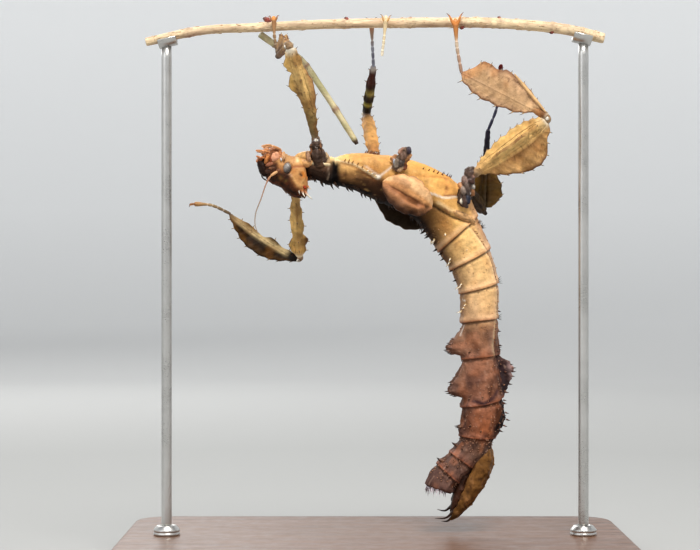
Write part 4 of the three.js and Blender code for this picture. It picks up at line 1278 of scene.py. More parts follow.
@dataclass(frozen=True)
class Limb:
    """A leg joint with its leafy flaps as one closed surface.

    Each ring runs round the shaft and, at each flap, out to its edge and back, so the flaps grow out
    of the shaft with a fillet.

    Attributes:
        start: near end.
        end: far end.
        shaft: (place, radius) rows.
        hues: colour rows along the shaft.
        leaves: flaps, in order of their angle.
        facing: the side that 90 degrees points to.
        bow: how far the middle is pushed over and across.
        patch: colour of the blotches.
        blotch: strength of the blotches.
        rings: rings along the limb.
        arcs: corners round the bare shaft.
        reach: corners out along a flap.
        seed: picks another pattern.
        gloss: roughness.
        rugged: strength of the relief.
        margin: least angle between a flap and the bare shaft, in degrees.
    """

    start: Point
    end: Point
    shaft: Sequence[tuple[float, float]]
    hues: tuple
    leaves: tuple[Leaf, ...] = ()
    facing: Point = RIGHT
    bow: tuple[float, float] = (0.0, 0.0)
    patch: int = 0x78482A
    blotch: float = 0.45
    rings: int = 70
    arcs: int = 18
    reach: int = 8
    seed: int = 1
    gloss: float = 0.5
    rugged: float = 1.0
    margin: float = 24.0

    def rail(self) -> Rail:
        """The limb's gently bowed axis."""
        start, end, facing = np.array(self.start), np.array(self.end), np.array(self.facing)
        along = unit(end - start)
        across = unit(facing - along * (along @ facing))
        shift = np.cross(along, across) * self.bow[0] + across * self.bow[1]
        first, second = (share * start + (1 - share) * end + 0.84 * shift for share in (0.7, 0.3))
        return Rail([start, first, second, end], self.facing)

    def build(self) -> tuple[Shell, list[Shell]]:
        """The limb, and the spines on the teeth of each flap."""
        rail, place = self.rail(), np.linspace(0, 1, self.rings)
        centre, along, across, over = rail.at(place)
        radius = np.mean([table(self.shaft, np.clip(place + step, 0, 1)) for step in (-0.03, 0, 0.03)], 0)
        radius = radius * (closing(-place, -0.045, 0.045, 0.8) * closing(place, 0.955, 0.045, 0.8))
        angles, outs, flats, leaf_of = self.loop()
        reach, aside, wide = np.zeros((3, self.rings, len(angles)))
        tint = np.repeat(hue_table(self.hues, place)[:, None], len(angles), 1)
        thorns = []
        for number, leaf in enumerate(self.leaves):
            mine = leaf_of == number
            width, tips = toothed(place, leaf.edge, leaf.teeth, leaf.bite, self.seed + number)
            step, span = outs[mine], np.maximum(width - radius, 0)[:, None]
            swing = leaf.wave * np.sin(place * rail.length() * 1.15 + self.seed)
            half = 0.5 * leaf.thick * (1 - step) ** 0.7 + 0.07 + 0.4 * np.exp(-span * step / 0.7)
            half = np.minimum(half * np.minimum(1, 0.35 + span), 0.85 * radius[:, None])
            reach[:, mine] = np.sqrt(np.maximum(radius[:, None] ** 2 - half**2, 0.01)) + span * step
            ripple = swing[:, None] * step**1.4 * np.minimum(1, span / 3)
            aside[:, mine] = flats[mine] * half + ripple + leaf.curl * span * step**2
            wide[:, mine] = span * step
            tint[:, mine] = paint(tint[:, mine], (hue_table(leaf.hues, step), ramp(span * step, 0.0, 0.9)))
            if not leaf.teeth:
                continue
            at = np.searchsorted(place, tips).clip(0, self.rings - 1)
            out, beyond = around(across[at], over[at], np.radians(leaf.angle)), span[at, 0]
            lay = leaf.curl * beyond + swing[at] * np.minimum(1, beyond / 3)
            feet = centre[at] + out * (radius[at] + beyond - 0.12)[:, None]
            feet = feet + np.cross(out, along[at]) * lay[:, None]
            size = (0.55 + 0.35 * np.abs(np.sin(at * 1.9 + self.seed))) * leaf.spike
            aims = unit(out + 0.45 * along[at])
            thorns.append(spines(feet, aims, size, 0.16, 0xD4B080, 0x221611))
        reach[:, leaf_of < 0] = radius[:, None]
        out = around(across[:, None], over[:, None], np.radians(angles))
        side = np.cross(out, along[:, None])
        grid = centre[:, None] + out * reach[..., None] + side * aside[..., None]
        return self.dress(grid, out, side, tint, wide, flats, place), thorns

    def loop(self) -> Array:
        """Corners of a ring: angle, share of the way out, side of the flap, and which flap it is on."""
        turns = [leaf.angle for leaf in self.leaves]
        way = np.linspace(0, 1, self.reach) ** 0.85
        rows = []
        for number, (turn, after) in enumerate(zip(turns, [*turns[1:], *(turn + 360 for turn in turns[:1])])):
            gap, margin = after - turn, min(self.margin, (after - turn) / 3)
            bare = np.linspace(turn + margin, after - margin, max(2, round(self.arcs * gap / 360)))
            rows += [(turn, step, -1, number) for step in way]
            rows += [(turn, step, 1, number) for step in way[::-1]]
            rows += [(angle, 0, 0, -1) for angle in bare]
        return np.array(rows or [(np.degrees(angle), 0, 0, -1) for angle in circle(self.arcs)]).T

    def dress(
        self, bare: Array, out: Array, side: Array, tint: Array, wide: Array, flats: Array, place: Array
    ) -> Shell:
        """Adds veins, wrinkles and colour to the bare surface.

        Args:
            bare: bare places, ring by ring.
            out: radial direction of each corner.
            side: direction across a flap at each corner.
            tint: base colours.
            wide: distance out along a flap, 0 on the shaft.
            flats: which face of a flap a corner is on, 0 on the shaft.
            place: place of each ring along the limb.

        Returns:
            The finished shell, with no relief where the bare shaft is thin.
        """
        bumps, crease = grain(bare, 0.75, self.seed), folds(bare, 1.5, self.seed)
        phase = 2 * np.pi * (place[:, None] * self.rail().length() - 0.5 * wide) / 1.7
        vein = (0.5 + 0.5 * np.cos(phase + bumps)) ** 4 * ramp(wide, 0.3, 1.2)
        rise = self.rugged * (0.07 * bumps + 0.1 * crease) + 0.1 * vein
        stout, on_leaf = ramp(table(self.shaft, place), 0.3, 0.6)[:, None], ramp(wide, 0.1, 0.6)
        outwards, sideways = rise * (1 - on_leaf) * stout, flats * rise * on_leaf
        grid = bare + out * outwards[..., None] + side * sideways[..., None]
        broad = grain(bare, 2.3, self.seed + 3)
        hue = paint(
            tint,
            (self.patch, self.blotch * ramp(broad, 0.0, 0.6)),
            ((1.22, 0.02), 0.5 * ramp(-broad, 0.1, 0.6)),
            (0.5, 0.55 * crease),
            ((1.3, 0.03), 0.35 * vein),
            (0x46281A, 0.5 * spots(bare, 0.45, self.seed + 7, 0.55, 0.75)),
        )
        return Shell.wrap(grid, hue, self.gloss)


# Colours of the flaps, from root (0) to edge (1).
AMBER = ((0, 0xBE8E4C), (0.5, 0xDEB062), (0.92, 0xE8C078), (1, 0x784E2C))
GOLD = ((0, 0xB08042), (0.4, 0xCEA05A), (0.9, 0xD8B06E), (1, 0x80542E))
PEACH = ((0, 0xB8926A), (0.4, 0xB69068), (0.8, 0xBE9670), (1, 0x7C5238))
TAN = ((0, 0x6E4826), (0.3, 0xB0824E), (0.8, 0xBE9058), (1, 0x6E462C))
OLIVE = ((0, 0x543C1C), (0.5, 0x745626), (0.9, 0x8A6832), (1, 0x46301A))
MOSS = ((0, 0x3C2812), (0.6, 0x604620), (1, 0x2C2012))
BROWN = ((0, 0x1A1109), (0.5, 0x301E0C), (0.8, 0x583A18), (1, 0x281A0E))


def coxa(start: Point, end: Point, size: float, hue: int, seed: int) -> Limb:
    """A short stout hip joint, ridged and dark, with a pale ring at its far end: partly pale joint skin,
    partly a painted glint.
    """
    shares = ((0, 1.3), (0.25, 1.2), (0.5, 0.95), (0.8, 0.86), (0.9, 0.66), (1, 0.6))
    # The pale grey-white stop at 0.93 is that ring: partly joint skin and partly a painted glint.
    hues = ((0, hue), (0.66, hue), (0.84, 0x705440), (0.93, 0xCEC8C4), (1, 0x785C42))
    return Limb(
        start, end, [(place, size * share) for place, share in shares], hues, rings=22, arcs=24,
        patch=0x1E1612, blotch=0.7, seed=seed, gloss=0.4, rugged=3.2,
    )


def knuckle(near: Limb, far: Limb, size: float, hue: int, seed: int) -> Shell:
    """The hinge between two joints: a barrel across the gap with a round knob on either side.

    Args:
        near: joint nearer the body.
        far: joint beyond it.
        size: radius of the barrel.
        hue: its colour; the knobs of a light one are pale.
        seed: picks another pattern.

    Returns:
        Barrel and knobs as one shell.
    """
    first, along, across, _ = near.rail().frame(1.0)
    last, ahead, *_ = far.rail().frame(0.0)
    middle = 0.5 * (first + last)
    line = Rail([first - 0.9 * along, middle, last + 0.9 * ahead], near.facing)
    parts = [tube(line, 16, 16, size * dome(np.linspace(-1, 1, 16), 3), hue, 0.36)]
    hinge, pale = unit(np.cross(along, ahead) + 1e-3 * across), 0xE8DECE if hue >> 16 > 100 else hue
    for sign in (-1, 1):
        knob = middle + sign * hinge * size * 0.72
        stub = Rail([knob - 0.55 * sign * hinge, knob, knob + 0.5 * sign * hinge], along)
        parts.append(tube(stub, 10, 12, 0.52 * size * dome(np.linspace(-1, 1, 10), 2, 0.03), pale, 0.3))
    shell = Shell.join(parts)
    rough = 0.07 * size * grain(shell.points, 0.5, seed)[:, None]
    shell.points = shell.points + rough * unit(shell.points - middle)
    shell.tint = paint(shell.tint, (0x30221C, 0.75 * ramp(folds(shell.points, 0.8, seed), 0.35, 0.8)))
    return shell


LEGS: dict[str, dict[str, Limb]] = {
    "fore_right": {
        "coxa": coxa((-13.5, -6.6, 94.2), (-14.05, -9.2, 100.2), 1.5, 0x543C2C, 3),
        "femur": Limb(
            (-14.1, -9.3, 100.4), (-20.0, -19.0, 121.1),
            ((0, 0.75), (0.15, 0.92), (0.3, 1.05), (0.5, 1.3), (0.8, 1.25), (1, 0.85)),
            (
                (0, 0x8C7A60), (0.1, 0x74603E), (0.3, 0x886E42), (0.42, 0xC49C5E), (0.6, 0xDEB876),
                (0.88, 0xCEA462), (0.96, 0xE2D6BE), (1, 0xECE4D4),
            ),
            (
                Leaf(
                    4,
                    (
                        (0.02, 0.7), (0.15, 1.3), (0.28, 1.6), (0.42, 2.35), (0.52, 3.0), (0.6, 2.7),
                        (0.7, 1.95), (0.83, 1.85), (0.93, 1.45), (1, 0.7),
                    ),
                    TAN, 8, 0.35, 0.05, 0.2, 0.7,
                ),
                Leaf(
                    86, ((0.3, 0.9), (0.45, 1.5), (0.62, 1.75), (0.85, 1.5), (0.97, 0.8)), AMBER, 5, 0.2,
                    0.2, 0.25, 0.9,
                ),
                Leaf(
                    184,
                    (
                        (0.3, 0.8), (0.42, 1.3), (0.5, 1.7), (0.545, 2.9), (0.6, 3.0), (0.66, 2.7),
                        (0.7, 1.45), (0.74, 2.3), (0.8, 2.8), (0.86, 2.4), (0.93, 1.6), (1, 0.7),
                    ),
                    AMBER, 6, 0.4, -0.12, 0.3, 0.7,
                ),
            ),
            bow=(0.35, 0.0), patch=0x744822, blotch=0.55, rings=92, seed=5,
        ),
        "tibia": Limb(
            (-20.2, -18.8, 121.4), (-23.2, -2.9, 120.5), ((0, 0.95), (0.5, 0.82), (1, 0.66)),
            ((0, 0xECE2CC), (0.1, 0xB48C5A), (0.5, 0x8C683C), (0.9, 0x543C2C), (1, 0x3C2C26)),
            (
                Leaf(
                    74, ((0.04, 0.9), (0.3, 2.6), (0.45, 3.9), (0.65, 3.0), (0.9, 0.8)), AMBER, 4, 0.4,
                    0.1,
                ),
                Leaf(
                    104, ((0.04, 0.9), (0.3, 3.0), (0.5, 4.3), (0.7, 3.2), (0.94, 0.8)), TAN, 4, 0.4, -0.1,
                ),
            ),
            facing=(0, 0, 1), rings=56, seed=6,
        ),
    },
    "fore_left": {
        "coxa": coxa((-14.2, -3.4, 93.0), (-18.9, 0.5, 91.8), 1.4, 0x5A402E, 8),
        "femur": Limb(
            (-19.4, 0.9, 91.4), (-18.6, 19.0, 72.9),
            ((0, 0.8), (0.3, 0.95), (0.6, 1.2), (0.85, 1.15), (1, 0.9)),
            ((0, 0x967248), (0.3, 0xBE985E), (0.6, 0xE6BC72), (0.9, 0xE4B46A), (1, 0xECE4D0)),
            (
                Leaf(
                    0,
                    (
                        (0.02, 0.8), (0.23, 1.15), (0.41, 1.6), (0.575, 2.0), (0.65, 1.4), (0.72, 1.9),
                        (0.82, 2.65), (0.9, 2.0), (0.98, 0.9),
                    ),
                    AMBER, 7, 0.4, 0.1, 0.25, 0.7,
                ),
                Leaf(90, ((0.2, 0.9), (0.5, 1.5), (0.8, 1.4), (0.97, 0.8)), GOLD, 4, 0.15, 0.0, 0.2, 0.8),
                Leaf(
                    175,
                    (
                        (0.02, 0.8), (0.23, 0.95), (0.41, 1.4), (0.6, 1.7), (0.67, 1.6), (0.725, 2.7),
                        (0.82, 1.9), (0.9, 1.8), (0.98, 0.9),
                    ),
                    MOSS, 6, 0.45, 0.0, 0.25, 0.7,
                ),
            ),
            rings=64, reach=7, seed=9,
        ),
        "tibia": Limb(
            (-18.9, 19.1, 72.4), (-35.9, 16.0, 83.6), ((0, 1.0), (0.1, 0.8), (0.3, 0.42), (1, 0.36)),
            (
                (0, 0x1A120E), (0.13, 0x1E160E), (0.22, 0xBAA274), (0.6, 0xCEB484), (0.92, 0xB4966C),
                (1, 0x5A4232),
            ),
            (
                Leaf(
                    2,
                    (
                        (0.05, 0.8), (0.25, 0.9), (0.36, 1.35), (0.44, 1.6), (0.5, 0.7), (0.62, 1.0),
                        (0.72, 1.4), (0.8, 0.8), (0.95, 0.5),
                    ),
                    MOSS, 4, 0.3, 0.0, 0.2, 0.5,
                ),
                Leaf(
                    185,
                    (
                        (0.02, 0.9), (0.143, 2.2), (0.24, 3.0), (0.393, 4.05), (0.5, 4.3), (0.6, 3.9),
                        (0.69, 3.35), (0.85, 2.0), (0.95, 1.1), (1, 0.4),
                    ),
                    BROWN, 8, 0.35, 0.12, 0.3, 0.5,
                ),
            ),
            bow=(-0.65, 0.0), patch=0x84541E, blotch=0.4, rings=76, seed=10,
        ),
    },
    "mid_left": {
        "coxa": coxa((2.4, 3.4, 94.0), (0.4, 6.5, 97.0), 1.55, 0x785438, 11),
        "femur": Limb(
            (0.0, 7.0, 97.6), (-1.9, 19.0, 108.4), ((0, 1.1), (0.5, 1.35), (0.85, 1.3), (1, 0.95)),
            ((0, 0xCE9254), (0.5, 0xDEA662), (0.8, 0xD6A064), (0.92, 0x826854), (1, 0x78706C)),
            (
                Leaf(
                    0, ((0.0, 1.2), (0.3, 1.65), (0.7, 1.8), (0.92, 1.4), (1, 0.9)), GOLD, 6, 0.3, 0.1,
                    0.15,
                ),
                Leaf(
                    180, ((0.0, 1.2), (0.3, 1.75), (0.7, 1.7), (0.92, 1.4), (1, 0.9)), GOLD, 5, 0.3, -0.1,
                    0.15,
                ),
            ),
            rings=60, reach=6, seed=12,
        ),
        "tibia": Limb(
            (-1.9, 18.9, 108.9), (-0.3, 4.4, 119.0), ((0, 1.0), (0.5, 0.9), (1, 0.66)),
            (
                (0, 0x968C82), (0.08, 0x282016), (0.18, 0x2C2216), (0.24, 0xA09642), (0.32, 0x2C2014),
                (0.4, 0x2E2214), (0.47, 0xA0924A), (0.56, 0x3C221A), (0.85, 0x542824), (0.95, 0xAAA49E),
                (1, 0x968E8C),
            ),
            (
                Leaf(
                    0, ((0.0, 0.9), (0.3, 1.35), (0.6, 1.2), (0.9, 0.8), (1, 0.5)), MOSS, 4, 0.25, 0.0,
                    0.1,
                ),
                Leaf(
                    180, ((0.0, 0.9), (0.35, 1.3), (0.65, 1.15), (0.9, 0.8), (1, 0.5)), BROWN, 4, 0.25,
                    0.0, 0.1,
                ),
            ),
            patch=0x281E14, blotch=0.35, rings=60, reach=6, seed=13,
        ),
    },
    "hind_right": {
        "coxa": coxa((20.2, -1.2, 84.2), (22.3, -4.3, 91.4), 1.45, 0x544238, 15),
        "femur": Limb(
            (22.5, -4.4, 91.8), (40.6, -6.0, 104.9),
            ((0, 0.9), (0.15, 1.15), (0.4, 1.45), (0.7, 1.6), (0.9, 1.4), (1, 1.0)),
            (
                (0, 0x68564A), (0.08, 0x967A5E), (0.18, 0xCEA062), (0.45, 0xE2B874), (0.85, 0xD8AC6A),
                (0.95, 0xD6B480), (1, 0xEEE4D0),
            ),
            (
                Leaf(
                    -2,
                    (
                        (0.02, 0.7), (0.1, 1.0), (0.18, 1.9), (0.38, 5.3), (0.52, 7.35), (0.64, 7.8),
                        (0.72, 7.45), (0.8, 6.2), (0.87, 3.9), (0.93, 3.0), (0.98, 2.2), (1, 1.0),
                    ),
                    TAN, 10, 0.28, -0.1, 0.4, 0.9,
                ),
                Leaf(
                    96, ((0.04, 0.9), (0.35, 2.0), (0.6, 2.35), (0.85, 1.9), (1, 0.9)), GOLD, 4, 0.3, 0.35,
                    0.45, 1.0,
                ),
                Leaf(
                    178,
                    (
                        (0.02, 0.7), (0.12, 1.1), (0.25, 2.3), (0.45, 3.25), (0.62, 3.6), (0.82, 3.1),
                        (0.95, 1.9), (1, 1.0),
                    ),
                    GOLD, 11, 0.45, 0.1, 0.3, 0.7,
                ),
            ),
            patch=0x966436, blotch=0.5, rings=104, arcs=14, reach=10, seed=16,
        ),
        "tibia": Limb(
            (40.8, -6.0, 105.8), (20.6, -3.0, 116.6),
            ((0, 1.15), (0.1, 0.8), (0.22, 0.36), (0.35, 0.26), (0.8, 0.24), (1, 0.36)),
            (
                (0, 0xE8D6B8), (0.05, 0x3C2A22), (0.12, 0x78563A), (0.2, 0xBE986E), (0.5, 0xB8926A),
                (0.8, 0xB6906A), (1, 0xB08668),
            ),
            (
                Leaf(
                    0,
                    (
                        (0.03, 0.9), (0.1, 1.3), (0.24, 3.2), (0.42, 4.9), (0.54, 5.6), (0.585, 5.85),
                        (0.615, 4.8), (0.7, 5.05), (0.79, 5.3), (0.83, 5.0), (0.86, 4.1), (0.91, 2.3),
                        (0.97, 1.0), (1, 0.6),
                    ),
                    PEACH, 9, 0.25, -0.08, 0.4, 0.8,
                ),
                Leaf(
                    180,
                    (
                        (0.03, 0.9), (0.14, 1.0), (0.22, 1.3), (0.32, 2.4), (0.47, 3.25), (0.63, 3.5),
                        (0.74, 3.25), (0.84, 2.85), (0.94, 1.9), (1, 0.6),
                    ),
                    PEACH, 7, 0.5, 0.08, 0.35, 0.7, 1.7,
                ),
            ),
            patch=0xBE7E46, blotch=0.45, rings=104, arcs=14, reach=10, seed=17, margin=60.0,
        ),
    },
    "hind_left": {
        "coxa": coxa((19.0, 5.8, 84.6), (23.2, 9.7, 88.6), 1.8, 0x38302E, 19),
        "femur": Limb(
            (23.5, 10.0, 88.7), (27.3, 24.2, 84.9), ((0, 1.1), (0.5, 1.6), (0.85, 1.4), (1, 1.1)),
            ((0, 0x342410), (0.5, 0x3E2B12), (0.93, 0x422E14), (1, 0x48341A)),
            (
                Leaf(
                    -50, ((0.0, 1.1), (0.3, 2.0), (0.6, 2.8), (0.85, 2.6), (0.98, 1.4)), BROWN, 0, 0.0,
                    0.0,
                ),
                Leaf(
                    140, ((0.0, 1.1), (0.3, 2.2), (0.6, 3.0), (0.8, 2.4), (0.98, 1.1)), MOSS, 6, 0.4, 0.0,
                ),
            ),
            facing=(0, 0, 1), patch=0x543E1A, rings=60, reach=7, seed=20, gloss=0.75,
        ),
        "tibia": Limb(
            (27.4, 24.6, 85.8), (27.5, 5.0, 103.6), ((0, 1.1), (0.4, 0.85), (0.7, 0.7), (1, 0.55)),
            ((0, 0x54422A), (0.4, 0x543E1E), (0.7, 0x242430), (1, 0x20243A)),
            (
                Leaf(
                    0,
                    (
                        (0.0, 2.6), (0.08, 3.9), (0.2, 4.9), (0.33, 4.6), (0.46, 3.0), (0.58, 1.4),
                        (0.68, 0.7),
                    ),
                    OLIVE, 5, 0.3, 0.1,
                ),
                Leaf(
                    180, ((0.06, 0.9), (0.2, 2.4), (0.34, 3.0), (0.5, 2.0), (0.66, 0.7)), OLIVE, 5, 0.35,
                    0.0,
                ),
            ),
            patch=0x68542C, rings=60, reach=7, seed=21,
        ),
    },
}


@dataclass(frozen=True)
class Knot:
    """A knot of swellings round a hip, as one skin.

    Rays leave a short axis in all directions, and the skin lies at the softened maximum of the
    places where they leave the swellings, each of which is a long ellipsoid. Where two swellings
    meet, the skin is creased and painted dark as shade.

    Attributes:
        start: one end of the axis.
        end: the other end of the axis.
        base: least distance of the skin from the axis.
        hue: colour where no swelling shows.
        swells: two ends, radius and colour of each swelling.
        seed: picks another pattern.
        flatten: share that the swellings keep of their height over the base.
    """

    start: Point
    end: Point
    base: float
    hue: int
    swells: tuple
    seed: int = 1
    flatten: float = 0.6
    rings: int = 62
    sides: int = 56

    def rays(self) -> tuple[Array, Array]:
        """Where each ring of rays starts, and their ways: square to the axis, or fanned at its ends."""
        start, end = np.array(self.start), np.array(self.end)
        along = unit(end - start)
        across = unit(np.array(RIGHT) - along * (along @ RIGHT))
        share, cap = np.linspace(0, 1, self.rings), 0.24
        fan = np.clip((share - 1 + cap) / cap, 0, 1) - np.clip((cap - share) / cap, 0, 1)
        origin = start + (end - start) * np.clip((share - cap) / (1 - 2 * cap), 0, 1)[:, None]
        radial = around(across, np.cross(along, across), circle(self.sides))
        return origin, around(along, radial, 0.49 * np.pi * fan[:, None])

    def shell(self) -> Shell:
        """The skin of the knot."""
        origin, ray = self.rays()
        reach = [np.full(ray.shape[:2], self.base)]
        for start, end, radius, _ in self.swells:
            first, last = np.array(start), np.array(end)
            way, squeeze = unit(last - first), 2 * radius / max(np.linalg.norm(last - first), 2 * radius) - 1
            middle = 0.5 * (first + last)
            away, step = (v + way * squeeze * (v @ way)[..., None] for v in (origin - middle, ray))
            a, b = (step**2).sum(-1), (away[:, None] * step).sum(-1)
            inside = b**2 - a * ((away**2).sum(-1) - radius**2)[:, None]
            reach.append(np.where(inside > 0, (np.sqrt(np.maximum(inside, 0)) - b) / a, 0.2))
        stack = np.stack(reach)
        for _ in range(2):
            rows = np.pad(stack, ((0, 0), (1, 1), (0, 0)), "edge")
            beside = rows[:, 2:] + rows[:, :-2] + np.roll(stack, 1, 2) + np.roll(stack, -1, 2)
            stack = 0.5 * stack + 0.125 * beside
        share = np.exp(7 * (stack - stack.max(0)))
        skin = self.base + self.flatten * (stack.max(0) + np.log(share.sum(0)) / 7 - self.base)
        share = share**2 / (share**2).sum(0)
        hues = np.stack([rgb(hue) for hue in (self.hue, *(row[3] for row in self.swells))])
        bare = origin[:, None] + ray * skin[..., None]
        meet = 1 - ramp((share**2).sum(0), 0.45, 0.95)
        crease = np.maximum(folds(bare, 1.1, self.seed), folds(bare, (0.5, 0.5, 1.6), self.seed + 9))
        skin = skin - 0.14 * meet - 0.16 * crease + 0.16 * grain(bare, 0.7, self.seed)
        tint = paint(np.tensordot(np.moveaxis(share, 0, -1), hues, 1), (self.hue, 0.1))
        # Painted shade where swellings meet and in the sunken creases, and pale spots of painted highlight.
        tint = paint(
            tint * 1.12,
            (tint * 0.34, 0.7 * meet),
            (0.42, 0.6 * ramp(crease, 0.45, 0.95)),
            ((1.5, 0.05), 0.6 * spots(bare, 0.7, self.seed + 4, 0.2, 0.7)),
        )
        return Shell.wrap(origin[:, None] + ray * skin[..., None], tint, 0.34)

    @classmethod
    def plain(cls, hip: Limb, seed: int) -> "Knot":
        """A knot for a hip that nothing is seen of: a dozen swellings strewn round its axis."""
        hues = (0x46342C, 0x785C4A, 0x968070, 0x2C262A, 0x604632)
        draw = np.random.default_rng(seed)
        start, end = np.array(hip.start), np.array(hip.end)
        along = unit(end - start)
        swells = []
        for share in np.linspace(-0.05, 0.85, 13):
            out = unit(np.cross(along, draw.normal(size=3)))
            middle = start + (end - start) * share + out * draw.uniform(0.9, 1.4)
            half = unit(along + 0.7 * draw.normal(size=3)) * draw.uniform(0.6, 1.5)
            hue = hues[draw.integers(5)]
            swells.append((middle - half, middle + half, draw.uniform(0.5, 0.85), hue))
        return cls(hip.start, hip.end, 1.2, 0x3C2E28, tuple(swells), seed)


KNOTS = {
    "fore_right": Knot(
        (-13.6, -7.0, 94.6), (-14.0, -9.2, 99.6), 1.25, 0x48362C,
        (
            ((-13.5, -8.0, 94.4), (-13.9, -9.6, 98.3), 1.6, 0x423026),
            ((-12.2, -7.6, 94.7), (-12.5, -8.8, 98.3), 1.3, 0x524036),
            ((-14.9, -8.2, 95.8), (-14.9, -9.4, 99.6), 0.8, 0x96603C),
            ((-13.1, -9.2, 96.6), (-12.95, -9.7, 99.8), 0.65, 0x845A3C),
            ((-14.5, -10.2, 98.7), (-13.7, -10.4, 97.9), 0.3, 0xAA9C94),
            ((-13.9, -10.4, 97.9), (-13.1, -10.2, 98.7), 0.3, 0xAA9C94),
            # Painted glint: the white-blue swell across the top of the hip.
            ((-14.8, -9.9, 100.2), (-13.2, -9.9, 100.2), 0.6, 0xC4CEDE),
            ((-11.8, -8.2, 98.0), (-10.8, -8.0, 95.0), 0.5, 0xCEB086),
            ((-11.9, -8.4, 96.9), (-11.0, -8.6, 95.6), 0.5, 0x68544A),
        ),
        3,
    ),
    "mid_right": Knot(
        (5.0, -6.0, 94.0), (7.4, -8.3, 97.6), 1.2, 0x785E4C,
        (
            ((7.5, -8.6, 96.4), (8.1, -9.0, 98.9), 0.86, 0x222234),
            ((5.2, -7.8, 97.0), (6.9, -8.3, 98.4), 0.9, 0x906650),
            ((6.2, -7.9, 95.2), (7.5, -8.7, 98.1), 1.1, 0x7A6052),
            ((7.0, -8.3, 95.2), (9.0, -8.9, 96.7), 0.62, 0xBE8654),
            ((6.7, -7.4, 94.3), (8.4, -8.3, 95.9), 0.7, 0x9C663E),
            ((4.7, -6.5, 93.5), (5.8, -7.6, 96.3), 1.0, 0x887A6C),
            ((5.8, -7.0, 93.7), (7.0, -8.2, 96.6), 1.0, 0x544A46),
            ((5.3, -6.9, 92.2), (7.0, -7.5, 93.6), 0.7, 0xC49E76),
            ((7.0, -6.9, 92.5), (8.4, -7.5, 94.0), 0.6, 0x88482A),
            ((2.6, -5.4, 96.2), (4.8, -6.7, 97.2), 0.75, 0xB07A4E),
            # Painted glint: the small white-blue swell.
            ((4.0, -6.6, 96.2), (4.8, -7.3, 94.2), 0.45, 0xB0B4BE),
        ),
        5,
    ),
    "hind_right": Knot(
        (21.0, -3.8, 86.0), (22.6, -4.4, 92.8), 1.5, 0x483830,
        (
            ((20.0, -5.6, 86.7), (20.5, -5.7, 84.8), 0.55, 0xECE2CC),
            ((20.9, -5.3, 87.6), (21.45, -5.4, 83.8), 0.75, 0x48362E),
            ((22.0, -5.5, 87.7), (22.6, -5.5, 84.7), 0.75, 0x1C2232),
            # Painted highlights: this pale grey swell and the one at 22.8 mm stand for grey glints along the
            # hip.
            ((21.7, -5.3, 88.2), (23.2, -5.3, 87.3), 0.42, 0xBEBAB6),
            ((20.2, -5.2, 89.6), (21.4, -5.7, 87.4), 0.9, 0x8C7A6E),
            ((18.9, -4.6, 90.7), (20.5, -5.1, 88.7), 0.75, 0xBC8050),
            ((20.2, -5.1, 92.1), (21.9, -5.6, 89.9), 0.95, 0x846C62),
            ((21.7, -5.1, 92.8), (23.8, -5.0, 91.5), 0.75, 0xB88C7C),
            ((21.7, -5.6, 91.3), (24.0, -5.4, 90.0), 0.75, 0x46302A),
            ((22.8, -4.9, 90.2), (24.2, -4.8, 88.6), 0.62, 0xC4BAAE),
            ((22.8, -4.5, 89.2), (24.2, -4.4, 86.8), 0.8, 0x92623E),
            ((21.0, -5.8, 90.5), (22.2, -5.9, 88.4), 0.7, 0x62524A),
            ((21.5, -5.6, 89.1), (22.6, -5.7, 86.9), 0.66, 0x3C302C),
            ((22.0, -4.3, 92.1), (23.4, -4.2, 94.4), 0.85, 0x70625A),
        ),
        7,
    ),
}
# Lumps beside the hips: two ends, radius and colour.
HIP_LUMPS = (
    ((-19.2, -7.3, 96.1), (-11.6, -6.4, 96.7), 1.4, 0xE6B06E),
    ((-19.0, -7.9, 94.9), (-12.4, -7.2, 95.0), 1.15, 0xCE9862),
    ((18.6, -4.5, 83.6), (24.0, -2.2, 80.9), 0.95, 0xCC9C68),
    ((-11.9, -6.9, 97.5), (-11.0, -7.2, 94.4), 0.7, 0xBE9E78),
    ((-12.7, -7.2, 97.6), (-12.2, -7.7, 94.6), 1.1, 0x4C392F),
    ((-16.2, -8.3, 97.6), (-15.4, -8.9, 95.0), 0.6, 0x967054),
    ((-17.0, HEAD_SIDE - 1.9, 89.4), (-16.3, HEAD_SIDE - 1.9, 88.7), 0.42, 0xA03818),
    ((-17.0, HEAD_SIDE + 1.9, 89.4), (-16.3, HEAD_SIDE + 1.9, 88.7), 0.42, 0xA03818),
)


